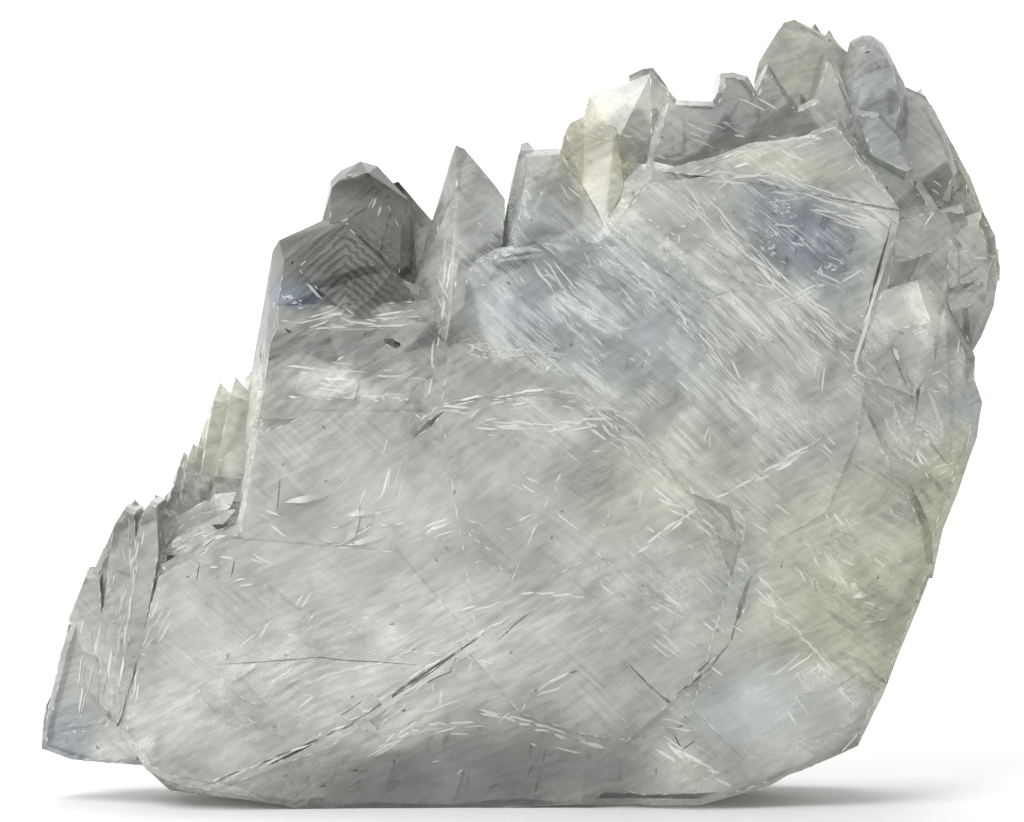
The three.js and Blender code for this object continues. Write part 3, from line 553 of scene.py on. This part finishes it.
def lay_plates(surface, rng, batches):
    for group in PLATES:
        (x0, z0), (x1, z1) = group["line"][0], group["line"][-1]
        for i in range(group["count"]):
            share = rng.random()
            x = x0 + (x1 - x0) * share + rng.gauss(0, group["reach"] / 2)
            z = z0 + (z1 - z0) * share + rng.gauss(0, group["reach"] / 2)
            place, normal = on_front(surface, x, z)
            along = place and heading(group["along"] + rng.gauss(0, 4), normal)
            if along:
                length, width = rng.uniform(1.4, 3.6) * MM, rng.uniform(0.8, 1.8) * MM
                lay_flake(surface, rng, batches, place, along, normal, length, width)


def lay_glints(surface, rng, batches):
    for glint in GLINTS:
        for i in range(glint["count"]):
            x, z = (rng.gauss(glint["middle"][axis], glint["reach"][axis] / 2) for axis in (0, 1))
            place, normal = on_front(surface, x, z)
            if place:
                length, width = rng.uniform(0.5, 1.6) * MM, rng.uniform(0.3, 0.6) * MM
                degrees = rng.gauss(-20, 30)
                lay_ridge(surface, rng, batches, place, degrees, normal, length, width, 0.2 * MM, rings=2)


# From point to point along a crack, and how far each lies off its line, in millimetres
CRACK_STEP = 1.4
CRACK_WAVER = 0.1
# Half the length of a crack's stretch, as a share of the gap that it spans
HALF_STRETCH = 0.62
# A stretch that would pass through steps deeper than this is left out
DEEPEST_STEP = 3 * MM


def cut_cracks(surface, rng, batches):
    """Fine waving furrows, each stretch a little longer than the gap that it spans."""
    for crack in CRACKS:
        for (x0, z0), (x1, z1) in zip(crack["line"], crack["line"][1:]):
            rings = max(3, round(math.hypot(x1 - x0, z1 - z0) / CRACK_STEP))
            spots = []
            for i in range(rings + 1):
                share = 0.5 - HALF_STRETCH * math.cos(math.pi * i / rings)
                x = x0 + (x1 - x0) * share + rng.gauss(0, CRACK_WAVER)
                z = z0 + (z1 - z0) * share + rng.gauss(0, CRACK_WAVER)
                place, normal = on_front(surface, x, z)
                spots.append(place)
            if None in spots or max(spot.y for spot in spots) - min(spot.y for spot in spots) > DEEPEST_STEP:
                continue
            along = spots[-1] - spots[0]
            batch = batch_with_room(batches, (spots[0] + spots[-1]) / 2, along.normalized(), along.length)
            if batch:
                width = crack["width"] * MM
                ridge(batch.shape, spots, along.normalized(), normal, width, width, material=BODY)


def cut_nicks(shape, surface, count, rng, batches):
    """Short gouges and pits, most of them along the cleavages."""
    for place, normal in surface_samples(shape, count, rng):
        along = heading(rng.choice((LEDGE, FEATHER, GROWTH, 0)) + rng.gauss(0, 10), normal)
        length = rng.uniform(0.7, 2.0) * MM
        spots = along and place.z > BARE_FOOT and traced(surface, place, along, normal, length, 0, 2, rng)
        batch = spots and batch_with_room(batches, place, along, length)
        if batch:
            ridge(batch.shape, spots, along, normal, rng.uniform(0.3, 0.8) * MM, 0.35 * MM, material=BODY)


def combine(target, batches, operation):
    """Joins each batch to the crystal, or cuts it out of it."""
    for batch in batches:
        tool = add_object("fine_steps", to_mesh("fine_steps", batch.shape))
        for finish in FINISHES:
            tool.data.materials.append(finish)
        joint = target.modifiers.new("join", "BOOLEAN")
        joint.operation = operation
        joint.solver = "MANIFOLD"
        joint.object = tool
        joined = bpy.data.meshes.new_from_object(
            target.evaluated_get(bpy.context.evaluated_depsgraph_get())
        )
        target.modifiers.clear()
        target.data = joined
        bpy.data.objects.remove(tool)


def island_of(start):
    """All the points that hang together with this one."""
    found, waiting = {start}, [start]
    while waiting:
        for edge in waiting.pop().link_edges:
            for vertex in edge.verts:
                if vertex not in found:
                    found.add(vertex)
                    waiting.append(vertex)
    return found


def drop_crumbs(mesh):
    """Deletes the few crumbs that the cuts left loose and the tiny voids that the joins closed in."""
    shape = bmesh.new()
    shape.from_mesh(mesh)
    islands, seen = [], set()
    for vertex in shape.verts:
        if vertex not in seen:
            islands.append(island_of(vertex))
            seen |= islands[-1]
    islands.sort(key=len)
    bmesh.ops.delete(shape, geom=[vertex for island in islands[:-1] for vertex in island], context="VERTS")
    shape.to_mesh(mesh)
    shape.free()


# Material


def put(tree, kind, inputs=None, **settings):
    """Adds a node, sets its options, and fills its sockets with values or with other nodes' outputs."""
    made = tree.nodes.new("ShaderNode" + kind)
    for name, value in settings.items():
        setattr(made, name, value)
    for name, value in (inputs or {}).items():
        socket = made.inputs[name]
        if isinstance(value, bpy.types.NodeSocket):
            tree.links.new(value, socket)
        else:
            socket.default_value = value
    return made


def maths(tree, operation, *values):
    return put(tree, "Math", dict(enumerate(values)), operation=operation).outputs[0]


def spread_out(tree, value, low, high):
    """Maps low..high of a value to 0..1, and holds it there."""
    return put(tree, "MapRange", {"Value": value, "From Min": low, "From Max": high}).outputs["Result"]


def new_group(name, inputs, outputs):
    group = bpy.data.node_groups.new(name, "ShaderNodeTree")
    for socket, kind, value in inputs:
        made = group.interface.new_socket(socket, in_out="INPUT", socket_type="NodeSocket" + kind)
        made.default_value = value
    for socket in outputs:
        group.interface.new_socket(socket, in_out="OUTPUT", socket_type="NodeSocketFloat")
    given = group.nodes.new("NodeGroupInput").outputs
    return group, given, group.nodes.new("NodeGroupOutput").inputs


# The part of the noise that becomes wisps, and the part of each wave that becomes a line
MIDDLE_TONES = (0.3, 0.7)
CRESTS = (0.6, 1.0)


def feather_group():
    """Long wisps that run one way in the plane of the broad face, and hair-fine lines among them."""
    group, given, result = new_group(
        "cleavage_feathers",
        [
            ("Vector", "Vector", (0, 0, 0)),
            ("Direction", "Float", 0.0),
            ("Length", "Float", 8 * MM),
            ("Width", "Float", 0.8 * MM),
            ("Steps", "Float", 9.0),
        ],
        ["Wisps", "Lines"],
    )
    turn = put(group, "CombineXYZ", {"Y": maths(group, "MULTIPLY", given["Direction"], -1.0)})
    grain = put(
        group, "CombineXYZ",
        {"X": given["Length"], "Y": maths(group, "MULTIPLY", given["Width"], 3.0), "Z": given["Width"]},
    )
    laid = put(
        group, "Mapping",
        {"Vector": given["Vector"], "Rotation": turn.outputs[0], "Scale": grain.outputs[0]},
        vector_type="TEXTURE",
    )
    wisps = put(
        group, "TexNoise", {"Vector": laid.outputs[0], "Scale": 1.0, "Detail": 2.0, "Roughness": 0.55}
    )
    value = wisps.outputs["Fac"]
    group.links.new(spread_out(group, value, *MIDDLE_TONES), result["Wisps"])
    turns = maths(group, "MULTIPLY", maths(group, "MULTIPLY", value, given["Steps"]), 2 * math.pi)
    group.links.new(spread_out(group, maths(group, "SINE", turns), *CRESTS), result["Lines"])
    return group


FEATHERS = feather_group()


def feathers(tree, vector, degrees, length, width, steps):
    made = put(tree, "Group", node_tree=FEATHERS)
    tree.links.new(vector, made.inputs["Vector"])
    made.inputs["Direction"].default_value = math.radians(degrees)
    made.inputs["Length"].default_value = length * MM
    made.inputs["Width"].default_value = width * MM
    made.inputs["Steps"].default_value = steps
    return made.outputs


def mixed(tree, share, first, second, blend="MIX"):
    made = put(tree, "Mix", data_type="RGBA", blend_type=blend)
    for index, value in ((0, share), (6, first), (7, second)):
        socket = made.inputs[index]
        if isinstance(value, bpy.types.NodeSocket):
            tree.links.new(value, socket)
        else:
            socket.default_value = value
    return made.outputs[2]


# The nested chevrons of the dark column: the tip's place in x, its slope, and their spacing
CHEVRON_TIP = -34.4 * MM
CHEVRON_SLOPE = 0.9
CHEVRON_SPACING = 1.9 * MM
CHEVRON_WAVINESS = 0.9 * MM


def growth_lines(tree, place, waviness, where):
    """Nested chevrons on the dark crystal's striped point, all with the slopes of its own tip."""
    parts = put(tree, "SeparateXYZ", {0: place}).outputs
    aside = maths(tree, "ABSOLUTE", maths(tree, "SUBTRACT", parts["X"], CHEVRON_TIP))
    level = maths(tree, "MULTIPLY_ADD", aside, CHEVRON_SLOPE, parts["Z"])
    uneven = maths(tree, "MULTIPLY_ADD", waviness, CHEVRON_WAVINESS, level)
    wave = maths(tree, "SINE", maths(tree, "MULTIPLY", uneven, 2 * math.pi / CHEVRON_SPACING))
    return maths(tree, "MULTIPLY", spread_out(tree, wave, -1, 1), where)


# Gypsum's own values, and how clear the crystal and its white ridges of bruise and painted highlight are
IOR = 1.52
CLEARNESS = 0.6
BRUISED_HIGHLIT_CLEARNESS = 0.4
BODY_COLOUR = (0.86, 0.87, 0.83, 1)
BODY_DENSITY = 25
# Colours of the hair-fine lines and of the white ridges, partly bruising and partly painted highlight
LINE_WHITE = (0.95, 0.95, 0.92, 1)
BRUISE_AND_HIGHLIGHT_WHITE = (0.97, 0.97, 0.94, 1)
# How strongly each pattern changes the colour
LEDGE_LINES = 0.25
LINE_STRENGTH = 0.65
BRUISE_AND_HIGHLIGHT_STRENGTH = 0.42
WISP_STRENGTH = 0.95
WITHOUT_WISPS = 0.62
CHEVRON_STRENGTH = -0.4
# Roughness: of the polished face, and what haze and lines add to it
POLISHED = 0.06
HAZE_ROUGHNESS = 0.4
LINE_ROUGHNESS = 0.25
BRUISED_HIGHLIT_ROUGHNESS = 0.35
# The streaks' and the mottles' length and width in millimetres, and how many lines a wisp holds
STREAKS = {"length": 30, "width": 0.9, "steps": 7}
MOTTLES = {"length": 5, "width": 1.1, "steps": 4}


def selenite_material():
    """Clear, silky gypsum: tinted, streaked and hazy at its surface, and see-through behind it."""
    material = bpy.data.materials.new("clear_selenite")
    material.use_nodes = True
    tree = material.node_tree
    shader = tree.nodes["Principled BSDF"]
    output = tree.nodes["Material Output"]
    place = put(tree, "TexCoord").outputs["Object"]
    tint = put(tree, "Attribute", attribute_name="tint").outputs
    grain = put(tree, "Attribute", attribute_name="grain").outputs
    share = put(tree, "SeparateColor", {"Color": grain["Color"]}).outputs
    laid = put(tree, "Attribute", attribute_name="laid").outputs["Vector"]

    # Long streaks down one cleavage, and milky mottles drawn out a little along the other
    down = feathers(tree, laid, FEATHER, **STREAKS)
    ledge = feathers(tree, laid, LEDGE, **MOTTLES)
    wisp = maths(tree, "MULTIPLY_ADD", down["Wisps"], share["Red"],
                 maths(tree, "MULTIPLY", ledge["Wisps"], share["Green"]))
    line = maths(tree, "MAXIMUM", maths(tree, "MULTIPLY", down["Lines"], share["Red"]),
                 maths(tree, "MULTIPLY", ledge["Lines"],
                       maths(tree, "MULTIPLY", share["Green"], LEDGE_LINES)))
    chevrons = growth_lines(tree, place, ledge["Wisps"], share["Blue"])

    shade = maths(tree, "MULTIPLY_ADD", wisp, WISP_STRENGTH, WITHOUT_WISPS)
    shade = maths(tree, "MULTIPLY_ADD", chevrons, CHEVRON_STRENGTH, shade)
    grey = put(tree, "CombineColor", {"Red": shade, "Green": shade, "Blue": shade}).outputs[0]
    colour = mixed(tree, 1.0, tint["Color"], grey, "MULTIPLY")
    colour = mixed(tree, maths(tree, "MULTIPLY", line, LINE_STRENGTH), colour, LINE_WHITE)
    tree.links.new(colour, shader.inputs["Base Color"])

    haze = maths(tree, "MULTIPLY_ADD", tint["Alpha"], HAZE_ROUGHNESS, POLISHED)
    rough = maths(tree, "MULTIPLY_ADD", line, LINE_ROUGHNESS, haze)
    tree.links.new(rough, shader.inputs["Roughness"])

    shader.inputs["IOR"].default_value = IOR
    shader.inputs["Transmission Weight"].default_value = CLEARNESS
    absorption = tree.nodes.new("ShaderNodeVolumeAbsorption")
    absorption.inputs["Color"].default_value = BODY_COLOUR
    absorption.inputs["Density"].default_value = BODY_DENSITY
    tree.links.new(absorption.outputs["Volume"], output.inputs["Volume"])
    return material


def bruised_and_highlit_material():
    """The crystal's own tint, whitened along its steps, edges and glints: partly by bruising, partly as
    painted highlight.
    """
    material = bpy.data.materials.new("bruised_highlit_selenite")
    material.use_nodes = True
    tree = material.node_tree
    shader = tree.nodes["Principled BSDF"]
    tint = put(tree, "Attribute", attribute_name="tint").outputs["Color"]
    tree.links.new(mixed(tree, BRUISE_AND_HIGHLIGHT_STRENGTH, tint, BRUISE_AND_HIGHLIGHT_WHITE), shader.inputs["Base Color"])
    shader.inputs["Roughness"].default_value = BRUISED_HIGHLIT_ROUGHNESS
    shader.inputs["IOR"].default_value = IOR
    shader.inputs["Transmission Weight"].default_value = BRUISED_HIGHLIT_CLEARNESS
    return material


# The crystal's tints, some of them painted shade, light and reflection, marked where they are laid. The last
# number of a colour is its haze, from clear to milky
SMOKY = (0.23, 0.225, 0.2, 0.1)
# The column's own smoky colour, deepened by painted shade on its top faces where the light from above falls
TIP_SHADE = (0.06, 0.058, 0.05, 0.1)
BLUE_GREY = (0.33, 0.37, 0.43, 0.15)
WINDOW_BLUE = (0.165, 0.195, 0.245, 0.1)
# Painted reflection: blue of the sky on small facets beside the glint clusters
SKY_REFLECTION_BLUE = (0.3, 0.36, 0.46, 0.1)
STRAW = (0.74, 0.71, 0.54, 0.5)
CREAM = (0.95, 0.94, 0.84, 0.7)
OLIVE = (0.53, 0.53, 0.41, 0.4)
CLEAR_GREY = (0.48, 0.495, 0.468, 0.3)
MILK = (0.72, 0.74, 0.71, 0.6)
ICE_BLUE = (0.68, 0.75, 0.79, 0.4)
PALE_GREY = (0.69, 0.7, 0.66, 0.35)
# Painted shade: the dark of the downward-facing foot, of a pocket on the dark column, and of the strip left
# of the main slab's edge
SHADE_GREY = (0.26, 0.27, 0.26, 0.1)
DARK_GREY = (0.3, 0.31, 0.3, 0.2)
# A patch marked as front ends at this depth
FRONT_ONLY = 2 * MM


def patch(middle, reach, colour, share, turn=0, front=False):
    """An oval patch: its middle and reach in x and z in millimetres, and its turn in degrees."""
    return {
        "middle": middle, "reach": reach, "colour": colour, "share": share,
        "turn": math.radians(turn), "front": front,
    }


TINTS = [
    # The broad face
    patch((38, 54), (30, 20), OLIVE, 0.4, turn=-30),
    patch((70, 42), (18, 28), OLIVE, 0.75, turn=-10),
    patch((-28, 50), (34, 18), PALE_GREY, 0.8),
    patch((-46, 26), (36, 15), MILK, 0.6, turn=15),
    patch((54, 19), (14, 8), MILK, 0.9, turn=12),
    patch((45, 22), (10, 6), ICE_BLUE, 0.5, turn=20, front=True),
    patch((27, 47), (13, 8), MILK, 0.6, turn=-30, front=True),
    patch((66, 54), (17, 4), DARK_GREY, 0.45, turn=24),
    patch((43, 45), (4, 5), WINDOW_BLUE, 0.5, front=True),
    patch((14, 101), (24, 13), BLUE_GREY, 0.55, turn=-30),
    patch((36, 96), (7, 5), DARK_GREY, 0.7, turn=-45, front=True),
    patch((22, 88), (8, 4), DARK_GREY, 0.7, turn=-30, front=True),
    # Painted reflection of blue sky beside the glints over the middle
    patch((-2, 98), (8, 4), SKY_REFLECTION_BLUE, 0.35, turn=-10, front=True),
    # Painted shade over the foot, which faces down away from the light
    patch((-8, 8), (36, 10), SHADE_GREY, 0.95, turn=4),
    patch((22, 8), (12, 4), DARK_GREY, 0.6),
    patch((-24, 17), (10, 3), CREAM, 0.5, turn=10),
    patch((33, 8), (7, 4), CREAM, 0.6, turn=-20),
    # Upper right, round the window
    patch((55, 114), (13, 8), WINDOW_BLUE, 1, turn=-38, front=True),
    patch((62, 96), (6, 4), DARK_GREY, 0.5, turn=-40, front=True),
    patch((52, 128), (13, 3), STRAW, 0.5, turn=-12, front=True),
    patch((38, 137), (14, 6), DARK_GREY, 0.8, turn=14),
    patch((70, 138), (7, 14), BLUE_GREY, 0.2, turn=12),
    patch((74, 99), (7, 6), CREAM, 0.4, turn=-10, front=True),
    patch((79.8, 100), (2.4, 6), CREAM, 1, turn=15, front=True),
    patch((82.4, 106), (4, 5), DARK_GREY, 0.8),
    patch((92, 95), (6, 5), SMOKY, 0.8),
    patch((92, 122), (5, 22), OLIVE, 0.5, turn=20),
    patch((88, 78), (5, 5), BLUE_GREY, 0.6),
    patch((84, 60), (5, 18), OLIVE, 0.8, turn=-8),
    # The dark column at the upper left
    patch((-34, 116), (17, 22), SMOKY, 0.9),
    # Painted shade over the column's top and its shoulder
    patch((-31, 127), (10, 5), TIP_SHADE, 0.85, turn=-20),
    patch((-46, 114), (7, 3), TIP_SHADE, 0.6, turn=28),
    # Painted reflection of blue sky on the small facet by the glints
    patch((-44.6, 102.6), (5, 3.4), SKY_REFLECTION_BLUE, 0.9, turn=-10, front=True),
    patch((-34, 98), (14, 2.4), PALE_GREY, 0.8, turn=4, front=True),
    patch((-32, 90), (16, 6), DARK_GREY, 0.95),
    patch((-50.4, 86), (2, 28), DARK_GREY, 0.5, turn=-3),
    # Painted shade of a pocket, and of the strip left of the main slab's edge
    patch((-26.4, 93), (5, 3.4), SHADE_GREY, 0.9, turn=-8, front=True),
    patch((-19, 89), (3, 7), SHADE_GREY, 0.8, turn=-14, front=True),
    patch((-39, 85), (7, 3), PALE_GREY, 0.9, turn=-8, front=True),
    # The other points, from the left
    patch((-79, 11), (8, 4), MILK, 0.8),
    patch((-91, 13), (5, 6), BLUE_GREY, 0.7),
    patch((-82, 46), (7, 18), OLIVE, 0.3, turn=-14),
    patch((-86, 35), (8, 22), DARK_GREY, 0.3, turn=-12),
    # The points' own cream, laid on nearly in full as painted light against the shadow they sit in
    patch((-61, 76), (8, 13), CREAM, 0.95, turn=-24),
    patch((-15, 116), (4, 16), CREAM, 0.45, turn=-12),
    patch((-8.4, 117), (4, 12), DARK_GREY, 0.6, turn=10),
    patch((4, 122), (9, 10), MILK, 0.35),
    patch((14, 132), (7, 14), STRAW, 0.8, turn=10),
    patch((22, 141), (10, 7), CREAM, 0.45),
    patch((55, 150), (9, 9), OLIVE, 0.5),
]
# How strongly the down-running wisps, those along the ledges and the nested chevrons show in each place
GRAINS = [
    patch((14, 96), (30, 18), (1.2, 0.3, 0, 0), 1, turn=-30),
    patch((50, 100), (34, 26), (0.9, 0.4, 0, 0), 1, turn=-20),
    patch((-22, 56), (32, 16), (0.1, 0.25, 0, 0), 0.9),
    patch((-34, 22), (44, 18), (0.05, 0.6, 0, 0), 0.9, turn=20),
    patch((46, 22), (28, 14), (0.1, 0.3, 0, 0), 1, turn=10),
    patch((40, 56), (24, 12), (0.5, 0.5, 0, 0), 0.9, turn=-35),
    patch((70, 44), (12, 22), (0.4, 0.5, 0, 0), 0.9, turn=-8),
    patch((-8, 8), (34, 9), (0, 0.35, 0, 0), 0.9, turn=4),
    patch((-36, 88), (18, 9), (0.1, 1.1, 0, 0), 1),
    patch((-34, 116), (16, 20), (0.05, 0.3, 0, 0), 0.9),
    patch((-34, 107), (11, 9), (0, 0.2, 1, 0), 1, turn=-8, front=True),
    patch((62, 142), (36, 14), (0.3, 0.4, 0, 0), 0.8),
]
PLAIN_GRAIN = (0.35, 0.45, 0, 0)
# How softly the patches fade out, as a share of their reach
FADE = 0.55


def painted(points, plain, patches):
    """The colour of each point, from the soft-edged oval patches laid over a plain one in their order."""
    colours = numpy.tile(numpy.array(plain, numpy.float32), (len(points), 1))
    for oval in patches:
        cos, sin = math.cos(oval["turn"]), math.sin(oval["turn"])
        x = points[:, 0] / MM - oval["middle"][0]
        z = points[:, 2] / MM - oval["middle"][1]
        along = (x * cos + z * sin) / oval["reach"][0]
        aside = (z * cos - x * sin) / oval["reach"][1]
        share = numpy.clip((1 + FADE - numpy.hypot(along, aside)) / (2 * FADE), 0, 1)
        share = share * share * (3 - 2 * share) * oval["share"]
        if oval["front"]:
            share[points[:, 1] > FRONT_ONLY] = 0
        colours += share[:, None] * (numpy.array(oval["colour"], numpy.float32) - colours)
    return colours


def standing_out(surface, place):
    """How far a point stands above the plain surface, or lies below it."""
    nearest, normal, index, far = surface.find_nearest(place)
    return far if (place - nearest).dot(normal) > 0 else -far


# How far patches and streaks wander, and over which distance, in millimetres
PATCH_DRIFT = {"scale": 9, "reach": 2.4}
STREAK_DRIFT = {"scale": 44, "reach": 4}
# Soft clouds: their size in millimetres, and the part of the noise that spans them
SHADE_CLOUDS = {"scale": 12, "low": -0.5, "high": 0.5}
STREAK_CLOUDS = {"scale": 7, "low": -0.2, "high": 0.2}
# What the clouds do: the darkest shade and what they add to it, the thinnest streaks, and how far the
# mottles fade where the streaks gather
DARKEST = 0.78
CLOUD_LIGHT = 0.44
THINNEST = 0.1
MOTTLES_FADE = 0.4
# Painted shade in pits, nicks and cracks: its colour, how far below the plain surface it starts and how
# much deeper it is full, in millimetres, and how strongly it shows
PIT_SHADE = (0.3, 0.3, 0.28, 0.6)
PIT_SHADE_FROM = 0.04
PIT_SHADE_SPAN = 0.2
PIT_SHADE_STRENGTH = 0.7


def wandered(places, scale, reach):
    """Each place shifted a little, by an amount that changes slowly along the surface."""
    return numpy.array([place + noise.noise_vector(place / (scale * MM)) * reach * MM for place in places])


def cloudy(places, scale, low, high):
    """A soft random pattern, stretched so that low and high become 0 and 1."""
    values = numpy.array([noise.fractal(place / (scale * MM), 1, 2, 3) for place in places])
    return numpy.clip((values - low) / (high - low), 0, 1)


def store(mesh, name, kind, field, values):
    layer = mesh.attributes.new(name, kind, "POINT")
    layer.data.foreach_set(field, values.astype(numpy.float32).ravel())


def paint(mesh, surface):
    """Stores what the material reads at each point: its tint, with painted shade darkening its pits and
    cracks, its grain, and where its streaks lie.
    """
    places = [vertex.co.copy() for vertex in mesh.vertices]
    drifted = wandered(places, **PATCH_DRIFT)
    tints = painted(drifted, CLEAR_GREY, TINTS)
    tints[:, :3] *= (DARKEST + CLOUD_LIGHT * cloudy(places, **SHADE_CLOUDS))[:, None]
    heights = numpy.array([standing_out(surface, place) for place in places]) / MM
    # Painted shade: points below the plain surface, in cracks, nicks and pits, darken with their depth
    pits = numpy.clip((-heights - PIT_SHADE_FROM) / PIT_SHADE_SPAN, 0, 1)[:, None] * PIT_SHADE_STRENGTH
    tints += pits * (numpy.array(PIT_SHADE) - tints)
    store(mesh, "tint", "FLOAT_COLOR", "color", tints)

    grains = painted(drifted, PLAIN_GRAIN, GRAINS)
    gathered = cloudy(places, **STREAK_CLOUDS)
    grains[:, 0] *= THINNEST + (1 - THINNEST) * gathered
    grains[:, 1] *= 1 - MOTTLES_FADE * gathered
    store(mesh, "grain", "FLOAT_COLOR", "color", grains)
    store(mesh, "laid", "FLOAT_VECTOR", "vector", wandered(places, **STREAK_DRIFT))


# Putting it together

NICKS = 220
FAMILIES = 880
FLECKS = 800
CREASE = math.radians(12)

rng = random.Random(SEED)
body_shape = plain_body()
undulate(body_shape)
body_shape.normal_update()
plain_surface = BVHTree.FromBMesh(body_shape)
nicks = [Batch() for i in range(3)]
ridges = [Batch() for i in range(10)]
cut_cracks(plain_surface, rng, nicks)
cut_nicks(body_shape, plain_surface, NICKS, rng, nicks)
lay_ledges(plain_surface, rng, ridges)
lay_glints(plain_surface, rng, ridges)
lay_plates(plain_surface, rng, ridges)
wear_and_highlight_edges(body_shape, rng, ridges)
scatter_families(body_shape, plain_surface, FAMILIES, rng, ridges)
scatter_flecks(body_shape, plain_surface, FLECKS, rng, ridges)
FINISHES = [selenite_material(), bruised_and_highlit_material()]
blade = add_object("selenite_blade", to_mesh("selenite_blade", body_shape))
for finish in FINISHES:
    blade.data.materials.append(finish)
combine(blade, nicks, "DIFFERENCE")
combine(blade, ridges, "UNION")
drop_crumbs(blade.data)
for vertex in blade.data.vertices:
    vertex.co = kept_inside(vertex.co, vertex.co.z)
blade.data.shade_smooth()
blade.data.set_sharp_from_angle(angle=CREASE)
paint(blade.data, plain_surface)
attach(blade, "root")
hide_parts("crystal_blade")


# Studio

WALL_WIDTH = 12
FLOOR_FRONT = 8
WALL_AT = 0.5
WALL_CURVE = 0.4
WALL_HEIGHT = 1.2
FLOOR_COLOUR = (0.88, 0.88, 0.87, 1)
SKY_COLOUR = (0.93, 0.94, 0.95, 1)
SKY_STRENGTH = 0.5
# Where each light hangs, what it points at, its size and its watts
LIGHTS = {
    "key": ((-0.4, -0.5, 0.75), (0, 0, 0.08), 0.45, 6),
    "left": ((-0.8, -0.2, 0.3), (0, 0, 0.07), 0.5, 2.2),
    "wall": ((0, 0.25, 0.9), (0, 0.8, 0.2), 0.6, 7),
}


def studio():
    """A pale floor that curves up into a wall behind the crystal."""
    sweep = bmesh.new()
    front = sweep.verts.new((-WALL_WIDTH / 2, -FLOOR_FRONT, 0))
    foot = sweep.verts.new((-WALL_WIDTH / 2, WALL_AT, 0))
    sweep.edges.new((front, foot))
    turned = bmesh.ops.spin(
        sweep, geom=[foot], cent=(0, WALL_AT, WALL_CURVE), axis=(1, 0, 0), dvec=(0, 0, 0),
        angle=math.radians(90), steps=24, use_duplicate=False,
    )
    last = turned["geom_last"][0]
    top = sweep.verts.new(last.co + Vector((0, 0, WALL_HEIGHT)))
    rail = [*sweep.edges, sweep.edges.new((last, top))]
    wall = bmesh.ops.extrude_edge_only(sweep, edges=rail)
    moved = [part for part in wall["geom"] if isinstance(part, bmesh.types.BMVert)]
    bmesh.ops.translate(sweep, verts=moved, vec=(WALL_WIDTH, 0, 0))
    for face in sweep.faces:
        face.smooth = True
    floor = add_object("studio_floor", to_mesh("studio_floor", sweep))
    material = bpy.data.materials.new("pale_floor")
    material.use_nodes = True
    shader = material.node_tree.nodes["Principled BSDF"]
    shader.inputs["Base Color"].default_value = FLOOR_COLOUR
    shader.inputs["Roughness"].default_value = 0.8
    floor.data.materials.append(material)


def area_light(name, place, target, size, watts):
    lamp = bpy.data.lights.new(name, "AREA")
    lamp.shape = "SQUARE"
    lamp.size = size
    lamp.energy = watts
    thing = add_object(name, lamp)
    thing.location = place
    thing.rotation_mode = "QUATERNION"
    thing.rotation_quaternion = (Vector(target) - Vector(place)).to_track_quat("-Z", "Y")


def sky():
    world = bpy.data.worlds.new("studio_sky")
    bpy.context.scene.world = world
    world.use_nodes = True
    back = world.node_tree.nodes["Background"]
    back.inputs["Color"].default_value = SKY_COLOUR
    back.inputs["Strength"].default_value = SKY_STRENGTH


def camera():
    lens = bpy.data.cameras.new("camera")
    lens.lens = LENS / MM
    lens.sensor_width = SENSOR / MM
    eye = add_object("camera", lens)
    distance = IMAGE_WIDTH * PIXEL * LENS / SENSOR
    back = Vector((0, -math.cos(ELEVATION), math.sin(ELEVATION)))
    eye.location = AIM + back * distance
    eye.rotation_mode = "QUATERNION"
    eye.rotation_quaternion = (-back).to_track_quat("-Z", "Y")
    lens.clip_start = 0.01
    lens.clip_end = 20
    bpy.context.scene.camera = eye


studio()
sky()
for lamp_name, values in LIGHTS.items():
    area_light(lamp_name, *values)
camera()
bpy.context.scene.view_settings.view_transform = "Standard"
